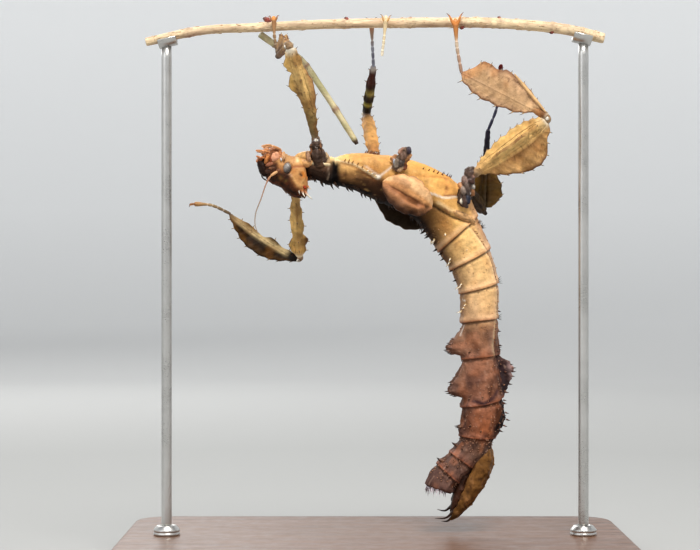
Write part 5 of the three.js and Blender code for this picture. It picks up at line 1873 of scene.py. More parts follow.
@dataclass(frozen=True)
class Foot:
    """A foot: four short joints pinched where they meet, a long last one, two claws and a soft pad.

    Attributes:
        points: its middle line.
        spread: direction from one claw to the other.
        curl: direction that the claws bend to.
        hues: colour rows from its base (0) to its tip (1).
        claw: colour of the claws.
        pad: colour of the pad.
        radius: thickness.
        grip: size of the claws.
    """

    points: tuple[Point, ...]
    spread: Point
    curl: Point
    hues: tuple
    claw: int = 0x926442
    pad: int = 0xD68C4A
    radius: float = 0.38
    grip: float = 1.0

    def shell(self) -> Shell:
        """The jointed foot with its pad and claws."""
        rings, rail = 110, Rail(self.points, self.spread)
        place = np.linspace(0.01, 1, rings)
        part = np.interp(place, (0.0, 0.19, 0.34, 0.47, 0.6, 1.02), range(6))
        within = part - np.floor(part)
        swell = np.sin(np.pi * np.clip(within, 0, 1)) ** 0.55
        bulb = ramp(place, 0.58, 0.7) * (0.1 + 0.45 * ramp(place, 0.7, 0.93))
        size = self.radius * (0.62 + 0.3 * swell + 0.18 * within + bulb)
        size = size * closing(place, 0.96, 0.042, 0.85)
        seams = bell(np.minimum(within, 1 - within), 0.1) * (place < 0.9)
        waists = bell(within - 0.8, 0.12)
        hue = paint(hue_table(self.hues, place), ((1.4, 0.12), 0.75 * seams), (0.55, 0.5 * waists))
        body = tube(rail, rings, 20, size, hue[:, None], 0.38)
        body.points = body.points + 0.03 * grain(body.points, 0.5, 4)[:, None] * unit(np.array(self.spread))
        return Shell.join([body, *self.tip(*rail.frame(1.0)[:3])])

    def tip(self, end: Array, along: Array, across: Array) -> list[Shell]:
        """The pad and the two claws at the end of the last joint."""
        curl, step = np.array(self.curl, float), np.linspace(0, 1, 26)
        line = [end - 0.5 * along, end + 0.35 * along + 0.1 * curl, end + 0.95 * along + 0.45 * curl]
        shape = dome(np.linspace(-1, 1, 22))[:, None] * oval(0.5, 1.15, circle(20))
        made = [tube(Rail(line, self.spread), 22, 20, shape, self.pad, 0.32)]
        taper = 0.25 * self.grip * (1 - step**1.4) + 0.03
        shade = hue_table(((0, self.claw), (0.6, self.claw), (1, 0x2C1810)), step)[:, None]
        for sign in (-1, 1):
            root = end - 0.3 * along + sign * 0.28 * across
            knee = root + self.grip * (1.25 * along + sign * 0.62 * across)
            tip = knee + self.grip * (0.95 * curl + sign * 0.5 * across)
            line = [root, 0.5 * (root + knee) + 0.1 * sign * across, knee + 0.12 * curl, tip]
            made.append(tube(Rail(line, along), 26, 12, taper, shade, 0.22))
        return made


FEET: dict[str, Foot] = {
    "fore_right": Foot(
        ((-23.2, -2.9, 120.45), (-24.0, -2.7, 125.0), (-24.2, -2.3, 129.3)), (1, 0, 0), (0, 0.9, 0.1),
        ((0, 0x3C3028), (0.3, 0x786046), (0.6, 0x967654), (1, 0xA0724A)),
    ),
    "fore_left": Foot(
        ((-35.7, 16.0, 83.6), (-40.4, 15.4, 85.7), (-44.6, 15.0, 86.0)), (0, 1, 0), (-0.3, 0, -0.95),
        ((0, 0x584636), (0.5, 0x967C58), (1, 0xB0804E)),
    ),
    "mid_left": Foot(
        ((-0.3, 4.4, 118.85), (-0.6, 2.9, 123.9), (-0.8, 2.5, 129.3)), (1, 0, 0), (0, -0.9, 0.2),
        ((0, 0x787C88), (0.25, 0x5C5C68), (0.45, 0x82848E), (0.7, 0x968070), (1, 0xB27854)), pad=0xDC968E,
    ),
    "hind_right": Foot(
        ((20.6, -3.0, 116.55), (19.5, -2.8, 123.0), (19.2, -2.5, 128.4)), (1, 0, 0), (0, 0.6, 0.75),
        ((0, 0x967460), (0.3, 0xA68670), (0.55, 0xC0AC94), (0.72, 0xAC7646), (1, 0xC0783E)), claw=0xBC763E,
        pad=0xC4824A, radius=0.42, grip=1.6,
    ),
    "hind_left": Foot(
        ((27.5, 5.05, 103.5), (29.3, 2.2, 108.4), (30.0, -0.4, 113.0), (30.0, -1.9, 117.8)),
        (0.85, 0, 0.5), (0, -0.95, 0), ((0, 0x2E3048), (0.4, 0x484E68), (0.7, 0x3A2832), (1, 0x401416)),
        claw=0x581816, pad=0x601E1C, grip=0.35,
    ),
}
CAST = Foot(
    ((1.6, -3.0, 120.6), (2.1, -2.7, 124.6), (2.5, -2.4, 129.2)), (1, 0, 0), (0, 0.6, 0.6),
    ((0, 0xE2D6BE), (0.5, 0xCEBA96), (1, 0xD6BC92)), claw=0xBE925C, pad=0xDEC49C, radius=0.34,
)


# ---------------------------------------------------------------- wing covers and tail


@dataclass(frozen=True)
class WingCover:
    """A small leathery wing cover: a bowed blade with a long groove and branching veins, painted paler above
    the groove and darker below it as light and shade.

    Attributes:
        points: middle line from the hinge to the tip.
        facing: side that its outer face points to.
        half: largest half width.
        bow: how far it bulges.
        seed: picks another pattern.
        shade: painted shade, a factor that darkens the colour of its inner face; the outer face takes this
            factor to the power 0.3.
    """

    points: tuple[Point, ...]
    facing: Point
    half: float
    bow: float
    seed: int
    shade: float = 1.0
    rings: int = 96
    sides: int = 72

    def outline(self, place: Array) -> Array:
        """Half width at each place: a blunt leaf, closed at its tip and narrow at its hinge."""
        half = self.half * np.maximum(np.sin(np.pi * np.minimum(0.93, 0.07 + 0.9 * place)), 0.02) ** 0.55
        half = half * closing(place, 0.93, 0.072) - 0.12
        half = np.maximum(half * np.sqrt(np.clip(place / 0.05, 0.02, 1)), 0.15)
        ragged = 1 + 0.04 * np.sin(place * 19 + self.seed) + 0.03 * np.sin(place * 37 + self.seed)
        return half * (0.68 + 0.32 * ramp(place, -0.05, 0.4)) * ragged

    def shell(self) -> Shell:
        """The blade, veined and painted."""
        rail = Rail(self.points, self.facing)
        place = 0.5 - 0.5 * np.cos(np.linspace(0, np.pi, self.rings))
        centre, _, across, over = rail.at(place)
        u, turn = np.meshgrid(place, circle(self.sides), indexing="ij")
        v, out = np.cos(turn), np.sin(turn)
        wide, thick = v * self.outline(place)[:, None], 0.36 + 0.5 * self.bow * np.sin(np.pi * u)
        sheet = np.stack([u * rail.length(), wide, 0 * wide], -1)
        drift = grain(sheet, 2.4, self.seed)
        past = v - 0.02 - 0.08 * drift - 0.14 * (u - 0.5)
        along = ramp(u, 0.06, 0.26) * (1 - ramp(u, 0.72, 0.92))
        groove = ramp(past, -0.03, 0.04) * np.exp(-np.maximum(past, 0) / 0.2) * along
        fan = 0.5 + 0.5 * np.cos((wide * (1.9 - 0.7 * u) + 1.1 * drift) * 2.1)
        veins, net = 0.7 * fan**4 * (1 - groove), folds(sheet, 1.0, self.seed + 2)
        bulge = 0.3 * bell(v + 0.4, 0.3) + 0.25 * bell(v - 0.5, 0.25) - 0.35 * ramp(np.abs(v), 0.75, 1.0)
        crumple = grain(sheet, (1.5, 1.1, 1), self.seed + 7) * ramp(u, 0.3, 0.6) * ramp(v, -0.15, 0.2)
        lift = 0.07 * veins + 0.07 * net + 0.16 * drift - 0.7 * groove
        lift = lift + bulge * np.sin(np.pi * u) + 0.75 * crumple
        face = np.sign(out) * np.abs(out) ** 0.5 * thick + lift * (out > -0.2)
        grid = centre[:, None] + over[:, None] * wide[..., None] + across[:, None] * face[..., None]
        # Painted light and shade: paler above the groove and darker below it, painted shadow in the groove
        # under the upper lobe and along its edge, darker in the crumple hollows, and the shade factor for the
        # inner face at the end.
        hue = paint(
            0xAC764E,
            (0x462B1C, ramp(v, 0.3, 0.95)),
            (0xCE925C, ramp(-v, -0.12, 0.05)),
            (0xE2B280, ramp(-v, 0.12, 0.4) * (1 - 0.6 * ramp(-v, 0.7, 0.95))),
            (0xA06A42, 0.55 * ramp(drift, 0.1, 0.7) * ramp(-v, -0.05, 0.1)),
            (0xB07A54, 0.6 * bell(v - 0.42, 0.16) * ramp(u, 0.35, 0.6)),
            (0.5, 0.4 * net),
            ((1.2, 0.03), 0.3 * veins),
            (0x8C542E, 0.7 * ramp(past, -0.03, 0.03) * (1 - ramp(past, 0.15, 0.5)) * along),
            (0x482412, 0.95 * groove**1.5),
            (0.45, 0.7 * ramp(-crumple, 0.1, 0.6)),
            (0x462A1C, 0.6 * ramp(np.abs(v), 0.9, 1.0)),
        )
        return Shell.wrap(grid, hue * np.where(out > -0.2, self.shade**0.3, self.shade)[..., None], 0.5)


WINGS = {
    "tegmen_right": WingCover(
        ((1.8, -7.4, 90.4), (5.6, -8.6, 88.6), (9.8, -8.4, 86.2), (13.2, -6.4, 84.4)), (0.15, -1, 0.1),
        4.6, 0.9, 4,
    ),
    # The far cover's inner face is painted almost black: painted shade.
    "tegmen_left": WingCover(
        ((0.4, 6.8, 88.4), (4.0, 8.6, 85.6), (8.2, 9.4, 82.8), (12.4, 8.6, 80.6)), (-0.15, 1, -0.2), 3.9,
        0.6, 6, 0.035,
    ),
}


@dataclass(frozen=True)
class Scoop:
    """A long plate or valve of the tail: an oval loft that may be hollowed on its upper side.

    Attributes:
        stations: rows of X, Y, Z, height and width.
        hollow: share of the upper side that is scooped out.
        hue: colour outside.
        inner: colour in the hollow.
        keel: height of the ridge along its outer side.
        gloss: roughness.
        wall: how far the rims of the hollow stand up, as a share of the radius.
    """

    stations: tuple
    hollow: float
    hue: int
    inner: int
    keel: float = 0.3
    gloss: float = 0.5
    wall: float = 0.0
    rings: int = 84
    sides: int = 64

    def shell(self) -> Shell:
        """The plate."""
        rows = np.array(self.stations, float)
        place, turn = np.linspace(0, 1, self.rings), circle(self.sides)
        size = run(rows[:, 3:], place)
        shut = dome(np.clip((place - 0.9) / 0.11, 0, 1))[:, None]
        radius = (oval(size[:, :1], size[:, 1:], turn, 2) - 0.1) * shut
        away = np.degrees(np.minimum(turn, 2 * np.pi - turn))
        walls = self.wall * bell(away - 52, 20) - self.hollow * bell(away, 24)
        radius = radius * (1 + walls * ramp(place, 0.02, 0.2)[:, None])
        radius = radius + self.keel * bell(away - 180, 14) * shut
        body = tube(Rail(rows[:, :3], RIGHT), self.rings, self.sides, radius, self.hue, self.gloss)
        u = np.append(np.repeat(place, self.sides), [0, 1])
        inside = np.append(np.tile(ramp(-away, -46, -34), self.rings), [0, 0]) * ramp(u, 0.05, 0.15)
        bare = body.points
        crease = folds(bare, (1.0, 0.8, 1.6), 3)
        rough = 0.26 * grain(bare, 1.3, 5) + 0.3 * spots(bare, 0.6, 6, 0.2, 0.8) - 0.14 * crease
        body.points = bare + rough[:, None] * np.array([0.75, -0.65, 0.0])
        # The crease layer darkens the sunken creases: painted shade.
        body.tint = paint(
            body.tint,
            (body.tint * 1.7 + 0.02, 0.7 * spots(bare, (1.2, 1.2, 2.0), 7, 0.0, 0.6)),
            (0x3E2416, 0.6 * spots(bare, 0.7, 9, 0.2, 0.6)),
            (0.45, 0.7 * crease),
            (0.45, ramp(u, 0.6, 0.95)),
            (self.inner, inside),
        )
        return body


SCOOP = Scoop(
    (
        (26.6, 3.0, 28.0, 2.0, 5.0), (26.5, 3.0, 23.6, 4.4, 7.2), (24.8, 3.0, 19.2, 4.3, 7.0),
        (21.9, 3.0, 14.0, 3.1, 5.2), (19.6, 3.0, 10.8, 1.8, 3.0), (18.0, 3.0, 9.2, 0.5, 0.9),
    ),
    0.75, 0x764F26, 0x0C0604, 0.3, 0.5, 0.42,
)
VALVES = Scoop(
    (
        (22.4, 3.0, 22.0, 3.2, 4.0), (20.8, 3.0, 17.4, 3.2, 4.0), (19.3, 3.0, 13.4, 2.2, 2.8),
        (18.3, 3.0, 10.6, 0.8, 1.0),
    ),
    0.0, 0x4A2C1E, 0x1E120C, 0.15, 0.36,
)
# Points of the egg valves: Y, then X and Z of three stops.
POINTS = (
    (2.2, ((19.2, 11.8), (17.2, 9.9), (14.4, 9.7))), (3.9, ((19.0, 13.0), (17.0, 11.4), (15.0, 11.7))),
    (3.1, ((19.4, 11.0), (17.6, 9.0), (16.0, 8.9))),
)


def tail_spines() -> Shell:
    """The dark curved points of the egg valves: tapering tubes on three stops."""
    taper = 0.36 * (1 - np.linspace(0, 1, 24) ** 1.3) + 0.03
    rails = (Rail([(x, y, z) for x, z in stops], RIGHT) for y, stops in POINTS)
    return Shell.join([tube(rail, 24, 12, taper, 0x2C1B14, 0.25) for rail in rails])


# Groups of spines on the trunk, the same on both sides: (station, angle, length) rows, share of
# those lengths, colours at root and tip, how far they lean tailwards, and radius of one 1 mm long.
BLACK, IVORY = 0x18100D, 0xF4EEE0
SPINES = (
    (((2.1, 93, 0.9), (2.25, 89, 1.0), (2.4, 86, 0.8), (0.5, 112, 0.6)), 1, 0xECC482, IVORY, 0.2, 0.24),
    (
        (
            (1.37, 124, 0.8), (1.5, 119, 0.9), (1.62, 114, 0.8), (1.78, 108, 0.8), (1.93, 101, 0.7),
        ),
        1, 0xCE9C62, BLACK, 0.1, 0.2,
    ),
    (
        (
            (0.24, 26, 1.2), (0.45, 12, 1.0), (0.71, 6, 1.4), (0.9, 30, 1.1), (1.1, 28, 1.8),
            (1.35, 34, 1.0), (1.62, 12, 1.2), (1.95, 30, 1.3), (2.35, 14, 1.2), (2.75, 28, 1.3),
            (3.3, 14, 1.1), (3.75, 26, 1.2), (4.25, 12, 1.1), (4.7, 26, 1.2), (0.62, 76, 0.6),
            (5.0, 14, 1.3), (5.2, 28, 1.0), (5.35, 10, 1.4), (5.55, 24, 1.2), (5.62, 8, 1.2),
            (5.9, 30, 0.9), (6.1, 14, 1.2), (6.3, 24, 0.9), (6.5, 10, 1.1), (7.1, 12, 0.8), (7.5, 16, 0.9),
        ),
        1, 0x3C281C, BLACK, 0.35, 0.24,
    ),
    (
        (
            (2.16, 172, 0.7), (2.28, 174, 0.8), (2.4, 173, 0.8), (2.5, 174, 0.7), (3.73, 134, 0.7),
            (3.87, 136, 0.8), (3.99, 141, 0.8), (4.12, 144, 0.9), (4.26, 150, 0.9), (4.4, 160, 0.9),
            (4.52, 170, 0.9),
        ),
        1, 0x784A2C, BLACK, 0.1, 0.2,
    ),
    (
        (
            (5.8, 34, 2.0), (5.86, 26, 1.6), (5.84, 12, 1.3), (5.78, 66, 1.4), (6.62, 46, 1.6),
            (6.72, 38, 1.9), (6.8, 24, 1.5), (7.68, 46, 1.5), (7.76, 38, 1.8), (7.8, 20, 1.6),
            (8.72, 22, 2.1), (8.5, 48, 1.2), (8.6, 40, 1.0), (6.62, 88, 0.5),
        ),
        0.72, 0xE2BE82, IVORY, 0.55, 0.22,
    ),
    (
        (
            (11.72, 24, 1.6), (13.62, 24, 1.5), (14.72, 24, 1.5), (11.6, 62, 1.0), (13.5, 60, 1.0),
            (14.7, 66, 0.8), (10.86, 52, 0.9), (9.84, 60, 0.9), (11.7, 92, 0.7), (13.6, 98, 0.6),
        ),
        1, 0x6E4A36, 0x241612, 0.6, 0.28,
    ),
    (
        (
            (9.3, 150, 0.7), (9.7, 156, 0.8), (10.1, 160, 0.9), (10.35, 164, 1.0), (10.95, 158, 0.9),
            (11.2, 163, 0.9), (11.5, 160, 0.8), (8.7, 158, 0.6), (9.85, 132, 0.6), (10.6, 128, 0.7),
        ),
        1, 0x5C3A2E, BLACK, 0.3, 0.22,
    ),
    (
        (
            (9.62, 24, 1.0), (9.72, 30, 0.8), (9.8, 24, 1.3), (9.86, 18, 1.1), (9.88, 27, 1.2),
            (9.5, 22, 0.7), (10.5, 24, 1.0), (10.62, 29, 0.8), (10.7, 24, 1.4), (10.76, 18, 1.1),
            (10.78, 28, 1.3), (10.4, 21, 0.7), (10.12, 176, 0.6), (10.2, 180, 0.9), (10.28, 177, 0.9),
            (10.36, 180, 0.9), (10.45, 176, 0.8), (10.6, 180, 0.8), (10.75, 177, 0.8), (10.9, 180, 0.7),
            (11.15, 178, 0.8), (11.3, 180, 0.9), (11.45, 177, 0.8), (11.6, 180, 0.8),
        ),
        1, 0x826052, BLACK, 0.35, 0.22,
    ),
)
# Bunches of stiff hairs: station, angle, how many, length and colour.
HAIRS = (
    (6.0, 158, 7, 1.1, 0x96908C), (6.2, 168, 6, 1.3, 0x3C322E), (7.85, 164, 4, 1.5, 0x221916),
    (8.9, 160, 4, 1.4, 0x221916), (9.75, 150, 3, 0.9, 0x3C2E2A),
)


@dataclass
class Prickles:
    """Spines, warts and bristles of the trunk, worked out on its surface."""

    trunk: Trunk

    def stand(self, rows: Array, foot: Tone, tip: Tone, lean: float, radius: float = 0.2) -> Shell:
        """Spines at (station, angle, length) rows, mirrored to the other side, leaning tailwards.

        Args:
            rows: one spine on the right side per row.
            foot: colour at the root.
            tip: colour at the tip.
            lean: how far it leans tailwards.
            radius: radius of a spine 1 mm long.

        Returns:
            The spines as one shell.
        """
        station, degrees, size = np.vstack([rows, [0, 360, 0] + rows * [1, -1, 1]]).T
        fold = np.minimum(degrees, 360 - degrees)
        lift = 0.05 + 0.95 * self.trunk.hump(station, fold)
        roots, outward, along = self.trunk.spot(station, degrees, lift)
        return spines(roots, unit(outward + lean * along), size, radius * np.sqrt(size), foot, tip)

    def shell(self) -> Shell:
        """All spines and warts of the trunk."""
        groups = [self.stand(np.array(rows) * [1, 1, share], *finish) for rows, share, *finish in SPINES]
        return Shell.join([*groups, self.edge_row(), self.warts(), self.fringe(), self.hairs()])

    def edge_row(self) -> Shell:
        """Fine teeth along the border between the back plates and the belly."""
        station = np.linspace(6.2, 11.9, 58)
        degrees = table(self.trunk.border, station) - 2 + 2 * np.sin(station * 31)
        size = 0.34 + 0.14 * np.sin(station * 17.3)
        return self.stand(np.column_stack([station, degrees, size]), 0xAA7048, 0x462A1E, 0.5, 0.2)

    def warts(self) -> Shell:
        """Small blunt warts scattered by a seeded draw, thickest on the flanks."""
        draw, count = np.random.default_rng(7), 420
        station, degrees = draw.uniform(5.2, 15.9, count), draw.uniform(8, 170, count)
        size = draw.uniform(0.12, 0.34, count) * (0.6 + 0.5 * ramp(station, 8, 11))
        tips = np.where((station < 9)[:, None], rgb(0xCEA068), rgb(0x96705C))
        rows = np.column_stack([station, degrees, size])
        return self.stand(rows, 0x82583C, np.vstack([tips, tips]), 0.3, 0.3)

    def hairs(self) -> Shell:
        """Stiff hairs: grey ones behind the first plate's corner, black pairs at the next two edges."""
        made = []
        for station, degrees, count, size, hue in HAIRS:
            turn = np.linspace(-1, 1, count)
            roots, outward, along = self.trunk.spot(station + 0.05 * turn, degrees + 6 * np.sin(7 * turn))
            aims = unit(outward + 0.5 * turn[:, None] * along + 0.2 * np.array(RIGHT))
            made.append(spines(roots, aims, size * (0.75 + 0.25 * np.cos(5 * turn)), 0.09, hue, hue, 0.1))
        return Shell.join(made)

    def fringe(self) -> Shell:
        """Bristles round the rear edge of the last plate, long and dark at the back, pale elsewhere."""
        draw, count = np.random.default_rng(11), 110
        degrees = draw.uniform(-112, 112, count)
        station = self.trunk.last - 0.02 - draw.uniform(0, 0.12, count)
        roots, outward, along = self.trunk.spot(station, degrees, -0.5)
        size = np.where(np.abs(degrees) < 70, draw.uniform(0.9, 1.9, count), draw.uniform(0.5, 1.2, count))
        size = np.where(draw.uniform(size=count) < 0.12, size + 0.8, size)
        hues = np.where((draw.uniform(size=count) < 0.2)[:, None], rgb(0x342428), rgb(0xE2D6DE))
        aims = unit(along + draw.uniform(-0.05, 0.35, (count, 1)) * outward)
        return spines(roots, aims, size, 0.13, hues * 0.8, hues, 0.12)


# ---------------------------------------------------------------- perch and stand


PERCH = np.array(
    [
        [-55.0, 0, 124.3], [-42.0, 0, 127.0], [-27.1, 0, 127.9], [-10.8, 0, 128.6], [6.0, 0, 128.9],
        [20.4, 0, 129.0], [30.0, 0, 128.8], [45.1, 0, 127.4], [55.0, 0, 125.2],
    ],
)


@dataclass
class Perch:
    """The cut twig: bark with rings at its nodes, buds, flakes, cut ends, and a short side twig.

    Attributes:
        thin: radius at the left end.
        thick: radius at the right end.
        nodes: places of the nodes along it.
        buds: place, angle and length of each bud.
        twig: middle line of the side twig.
    """

    thin: float = 1.15
    thick: float = 1.45
    nodes: tuple[float, ...] = (0.1, 0.26, 0.4, 0.52, 0.63, 0.75, 0.85, 0.93)
    buds: tuple[tuple[float, float, float], ...] = (
        (0.262, 188, 1.7), (0.405, 160, 0.8), (0.522, 200, 0.7), (0.632, 15, 0.9), (0.748, 175, 0.8),
        (0.853, 20, 0.8),
    )
    twig: tuple[Point, ...] = (
        (-27.6, 1.6, 126.4), (-24.3, 3.4, 124.2), (-18.2, 6.0, 121.0), (-13.3, 6.5, 114.4),
        (-7.2, 6.0, 105.0), (-4.3, 5.5, 100.2),
    )

    def shells(self) -> dict[str, Shell]:
        """The main twig and the side twig."""
        return {"perch": self.main(Rail(PERCH, RIGHT)), "perch_twig": self.side(Rail(self.twig, RIGHT))}

    @staticmethod
    def skin(length: float, place: Array, sides: int, radius: float) -> tuple[Array, Array]:
        """Places on a straight twig of the same length along X, for its grain, and the angle of each."""
        u, turn = np.meshgrid(place * length, circle(sides), indexing="ij")
        return np.stack([u, radius * np.cos(turn), radius * np.sin(turn)], -1), turn

    def main(self, rail: Rail) -> Shell:
        """Main twig with its buds and flakes."""
        rings, sides, length = 620, 48, rail.length()
        place = np.linspace(0, 1, rings)
        skin, turn = self.skin(length, place, sides, 1.3)
        radius = self.thin + (self.thick - self.thin) * place
        ring = np.zeros(rings)
        for node in self.nodes:
            gap = (place - node) * length
            ring += bell(gap, 0.55) + 0.55 * bell(gap - 1.0, 0.3) + 0.3 * bell(gap + 0.9, 0.35)
        fibre, lumps = grain(skin, (5.0, 0.3, 0.3), 2), grain(skin, (4.0, 1.4, 1.4), 3)
        pits = folds(skin, (1.8, 0.6, 0.6), 5)
        cut = np.minimum(place, 1 - place) * length
        shape = radius[:, None] - 0.12 + 0.15 * ring[:, None] + 0.025 * fibre + 0.09 * lumps - 0.04 * pits
        shape = shape * (1 - 0.12 * bell(cut, 0.25))[:, None]
        # Painted light: `under` rises towards the top of the twig; the plum blotches kept off it are painted
        # shade on the underside, and the cream streaks on it are painted highlights on the top.
        plum, under = 0x744238, ramp(-np.cos(turn), -0.25, 0.75)
        hue = paint(
            0xECD2A8,
            (0xCCB492, 0.6 * ramp(lumps, 0.1, 0.7)),
            (0xCE9678, 0.3 * spots(skin, (6.0, 1.2, 1.2), 8, 0.05, 0.6)),
            (plum, 0.4 * (1 - under) * spots(skin, (7.0, 1.5, 1.5), 9, -0.2, 0.5)),
            (plum, 0.6 * np.clip(ring, 0, 1)[:, None] * ramp(fibre, -0.6, 0.5)),
            (0xFAECCE, 0.5 * ramp(fibre, 0.2, 0.7) * under),
            (0x825A42, 0.4 * pits),
            (0xE2CCA8, bell(cut, 0.12)[:, None]),
        )
        body = tube(rail, rings, sides, shape, hue, 0.62)
        return Shell.join([body, *(self.bud(rail, *row) for row in self.buds), self.flakes(rail)])

    @staticmethod
    def bud(rail: Rail, place: float, degrees: float, size: float) -> Shell:
        """A small pointed bud at a node."""
        centre, along, across, over = rail.frame(place)
        out = around(across, over, np.radians(degrees))
        root = centre + out * 0.8
        bend = root + size * 0.5 * out - 0.15 * size * along
        line = [root, bend, root + size * (0.85 * out - 0.75 * along)]
        step = np.linspace(0, 1, 30)
        girth = 0.62 * size**0.5 * dome(step, 2.2, 0.004) * (1 + 0.1 * np.sin(step * 26))
        shade = hue_table(((0, 0x5A2822), (0.5, 0x963E2E), (1, 0x281814)), step)
        return tube(Rail(line, (0.3, -1, 0.2)), 30, 18, girth, shade[:, None], 0.5)

    def flakes(self, rail: Rail) -> Shell:
        """Lifted fibres of bark, as fine pointed splinters that lie along the twig."""
        draw, count = np.random.default_rng(5), 130
        place, turn = draw.uniform(0.02, 0.98, count), draw.uniform(0, 2 * np.pi, count)
        centre, along, across, over = rail.at(place)
        out = around(across, over, turn)
        radius = (self.thin + (self.thick - self.thin) * place - 0.1)[:, None]
        way = np.where(draw.uniform(size=count) < 0.5, -1, 1)[:, None]
        aims = unit(way * along + draw.uniform(0.04, 0.3, (count, 1)) * out)
        size = draw.uniform(0.5, 1.7, count)
        return spines(centre + out * radius, aims, size, 0.09, 0xBE966E, 0xEEDEBE, 0.1, 0.6)

    def side(self, rail: Rail) -> Shell:
        """The dry side twig, greenish cream, with a dark splintered tip."""
        rings, sides = 260, 34
        place = np.linspace(0, 1, rings)
        skin, _ = self.skin(rail.length(), place, sides, 0.9)
        fibre, lumps = grain(skin, (4.0, 0.25, 0.25), 12), grain(skin, (2.6, 1.1, 1.1), 13)
        joint = sum(bell(place - node, 0.012) for node in (0.2, 0.46, 0.72))
        radius = (0.82 * (1.06 - 0.15 * place) - 0.04 + 0.14 * joint)[:, None] + 0.05 * fibre + 0.07 * lumps
        ragged = 1 - ramp(place, 0.955, 1)[:, None] * (0.35 + 0.5 * (grain(skin, (9, 0.4, 0.4), 14) > 0))
        hue = paint(
            0xC4B88E,
            (0x969464, 0.6 * ramp(lumps, 0, 0.6)),
            (0x6E543A, 0.6 * ramp(fibre, 0.2, 0.7)),
            (0x784236, 0.7 * np.clip(joint, 0, 1)[:, None]),
            (0x3A2A20, ramp(place, 0.93, 0.985)[:, None]),
        )
        return tube(rail, rings, sides, radius * ragged, hue, 0.6)


@dataclass
class Stand:
    """A plain stand: a wooden slab and two steel rods with collars, each with a saddle for the perch.

    Attributes:
        long: length of the slab.
        deep: depth of the slab.
        thick: thickness of the slab.
        corner: radius of its corners.
        rod: radius of a rod.
        spread: distance of a rod from the middle.
        rim: inset and height of each ring of the slab, from its underside to the top.
        turned: radius and height of each ring of a collar.
        steel: colour under the finish.
    """

    long: float = 122.0
    deep: float = 76.0
    thick: float = 6.0
    corner: float = 9.0
    rod: float = 1.25
    spread: float = 50.0
    rim: tuple[tuple[float, float], ...] = (
        (1.4, 0.0), (0.5, 0.04), (0.12, 0.35), (0.0, 0.8), (0.0, 4.5), (0.12, 5.1), (0.45, 5.6), (1.0, 5.9),
        (1.7, 6.0), (6.0, 6.0), (14.0, 6.0), (24.0, 6.0), (33.0, 6.0),
    )
    turned: tuple[tuple[float, float], ...] = (
        (1.6, 0.02), (3.05, 0.02), (3.17, 0.14), (3.17, 0.6), (3.0, 0.72), (3.0, 0.86), (3.17, 0.98),
        (3.17, 1.3), (3.05, 1.5), (2.45, 2.2), (2.3, 2.36), (2.1, 2.4), (1.6, 2.4),
    )
    steel: int = 0xB4B2AE

    def slab(self) -> Shell:
        """The slab: a rounded rectangle with a rolled upper edge, carried up a profile and inwards on top."""
        turn = circle(240)
        rings = [np.column_stack([self.outline(turn, cut), np.full(240, rise)]) for cut, rise in self.rim]
        return Shell.wrap(np.stack(rings)[:, ::-1], 0x64422B, 0.4)

    def outline(self, turn: Array, cut: float) -> Array:
        """Rounded rectangle, cut millimetres smaller all round: straight sides and quarter-circle corners."""
        x, y = self.long / 2 - cut, self.deep / 2 - cut
        radius = max(self.corner - cut, 1.0)
        flat = np.array([x - radius, y - radius])
        way = np.column_stack([np.cos(turn), np.sin(turn)])
        ratio = np.array([x, y]) / np.maximum(np.abs(way), 1e-9)
        hit = way * np.min(ratio, axis=1)[:, None]
        inner = np.clip(hit, -flat, flat)
        away = hit - inner
        size = np.linalg.norm(away, axis=1)[:, None]
        return inner + np.where(size > 1e-6, away / np.maximum(size, 1e-6) * radius, 0)

    def rod_and_saddle(self, side: int) -> Shell:
        """A rod with its rounded foot, and half a sleeve on top in which the twig lies."""
        places = np.linspace(0, 1, 4000)
        place = places[np.argmin(np.abs(run(PERCH, places)[:, 0] - side * self.spread))]
        centre, along, *_ = Rail(PERCH, RIGHT).frame(place)
        perch, play = Perch(), 0.42
        bore = (perch.thin if side < 0 else perch.thick) + play
        low, high = self.thick + 0.3, centre[2] - bore - 0.45
        line = [(side * self.spread, 0, height) for height in (low, (low + high) / 2, high)]
        size = np.full(40, self.rod)
        size[[0, -1]] -= 0.08
        shaft = tube(Rail(line, RIGHT), 40, 48, size, self.steel, 0.3)
        level = np.array([0.0, 1.0, 0.0])
        up = np.cross(level, along)
        up = up if up[2] > 0 else -up
        wall, half, inset = 0.85, 2.25, 0.02
        section = self.rounded(((-half, bore), (-half, bore + wall), (half, bore + wall), (half, bore)))
        shift, radius = section.T[..., None]
        out = around(level, up, np.radians(np.linspace(100, 260, 40)))[:, None]
        sleeve = Shell.wrap(centre + out * (radius - inset) + along * shift, self.steel, 0.3)
        return Shell.join([shaft, sleeve])

    @staticmethod
    def rounded(corners: Sequence[tuple[float, float]], cut: float = 0.12) -> Array:
        """A section with a small flat cut on each corner."""
        here = np.array(corners)
        ways = np.stack([np.roll(here, 1, 0), np.roll(here, -1, 0)], 1) - here[:, None]
        return (here[:, None] + ways / np.linalg.norm(ways, axis=-1, keepdims=True) * cut).reshape(-1, 2)

    def collar(self, side: int) -> Shell:
        """A turned collar round the foot of a rod: a profile of radius and height spun about the rod."""
        profile = np.array(self.turned)
        grid = spun(*profile.T, 64) + [side * self.spread, 0, self.thick]
        points = grid.reshape(-1, 3)
        faces = weave(*grid.shape[:2], loop=True)[:, [0, 3, 2, 1]]
        tint = np.broadcast_to(rgb(self.steel), points.shape)
        return Shell(points, faces, np.zeros((0, 3), int), tint, np.full(len(points), 0.3))


# ---------------------------------------------------------------- studio


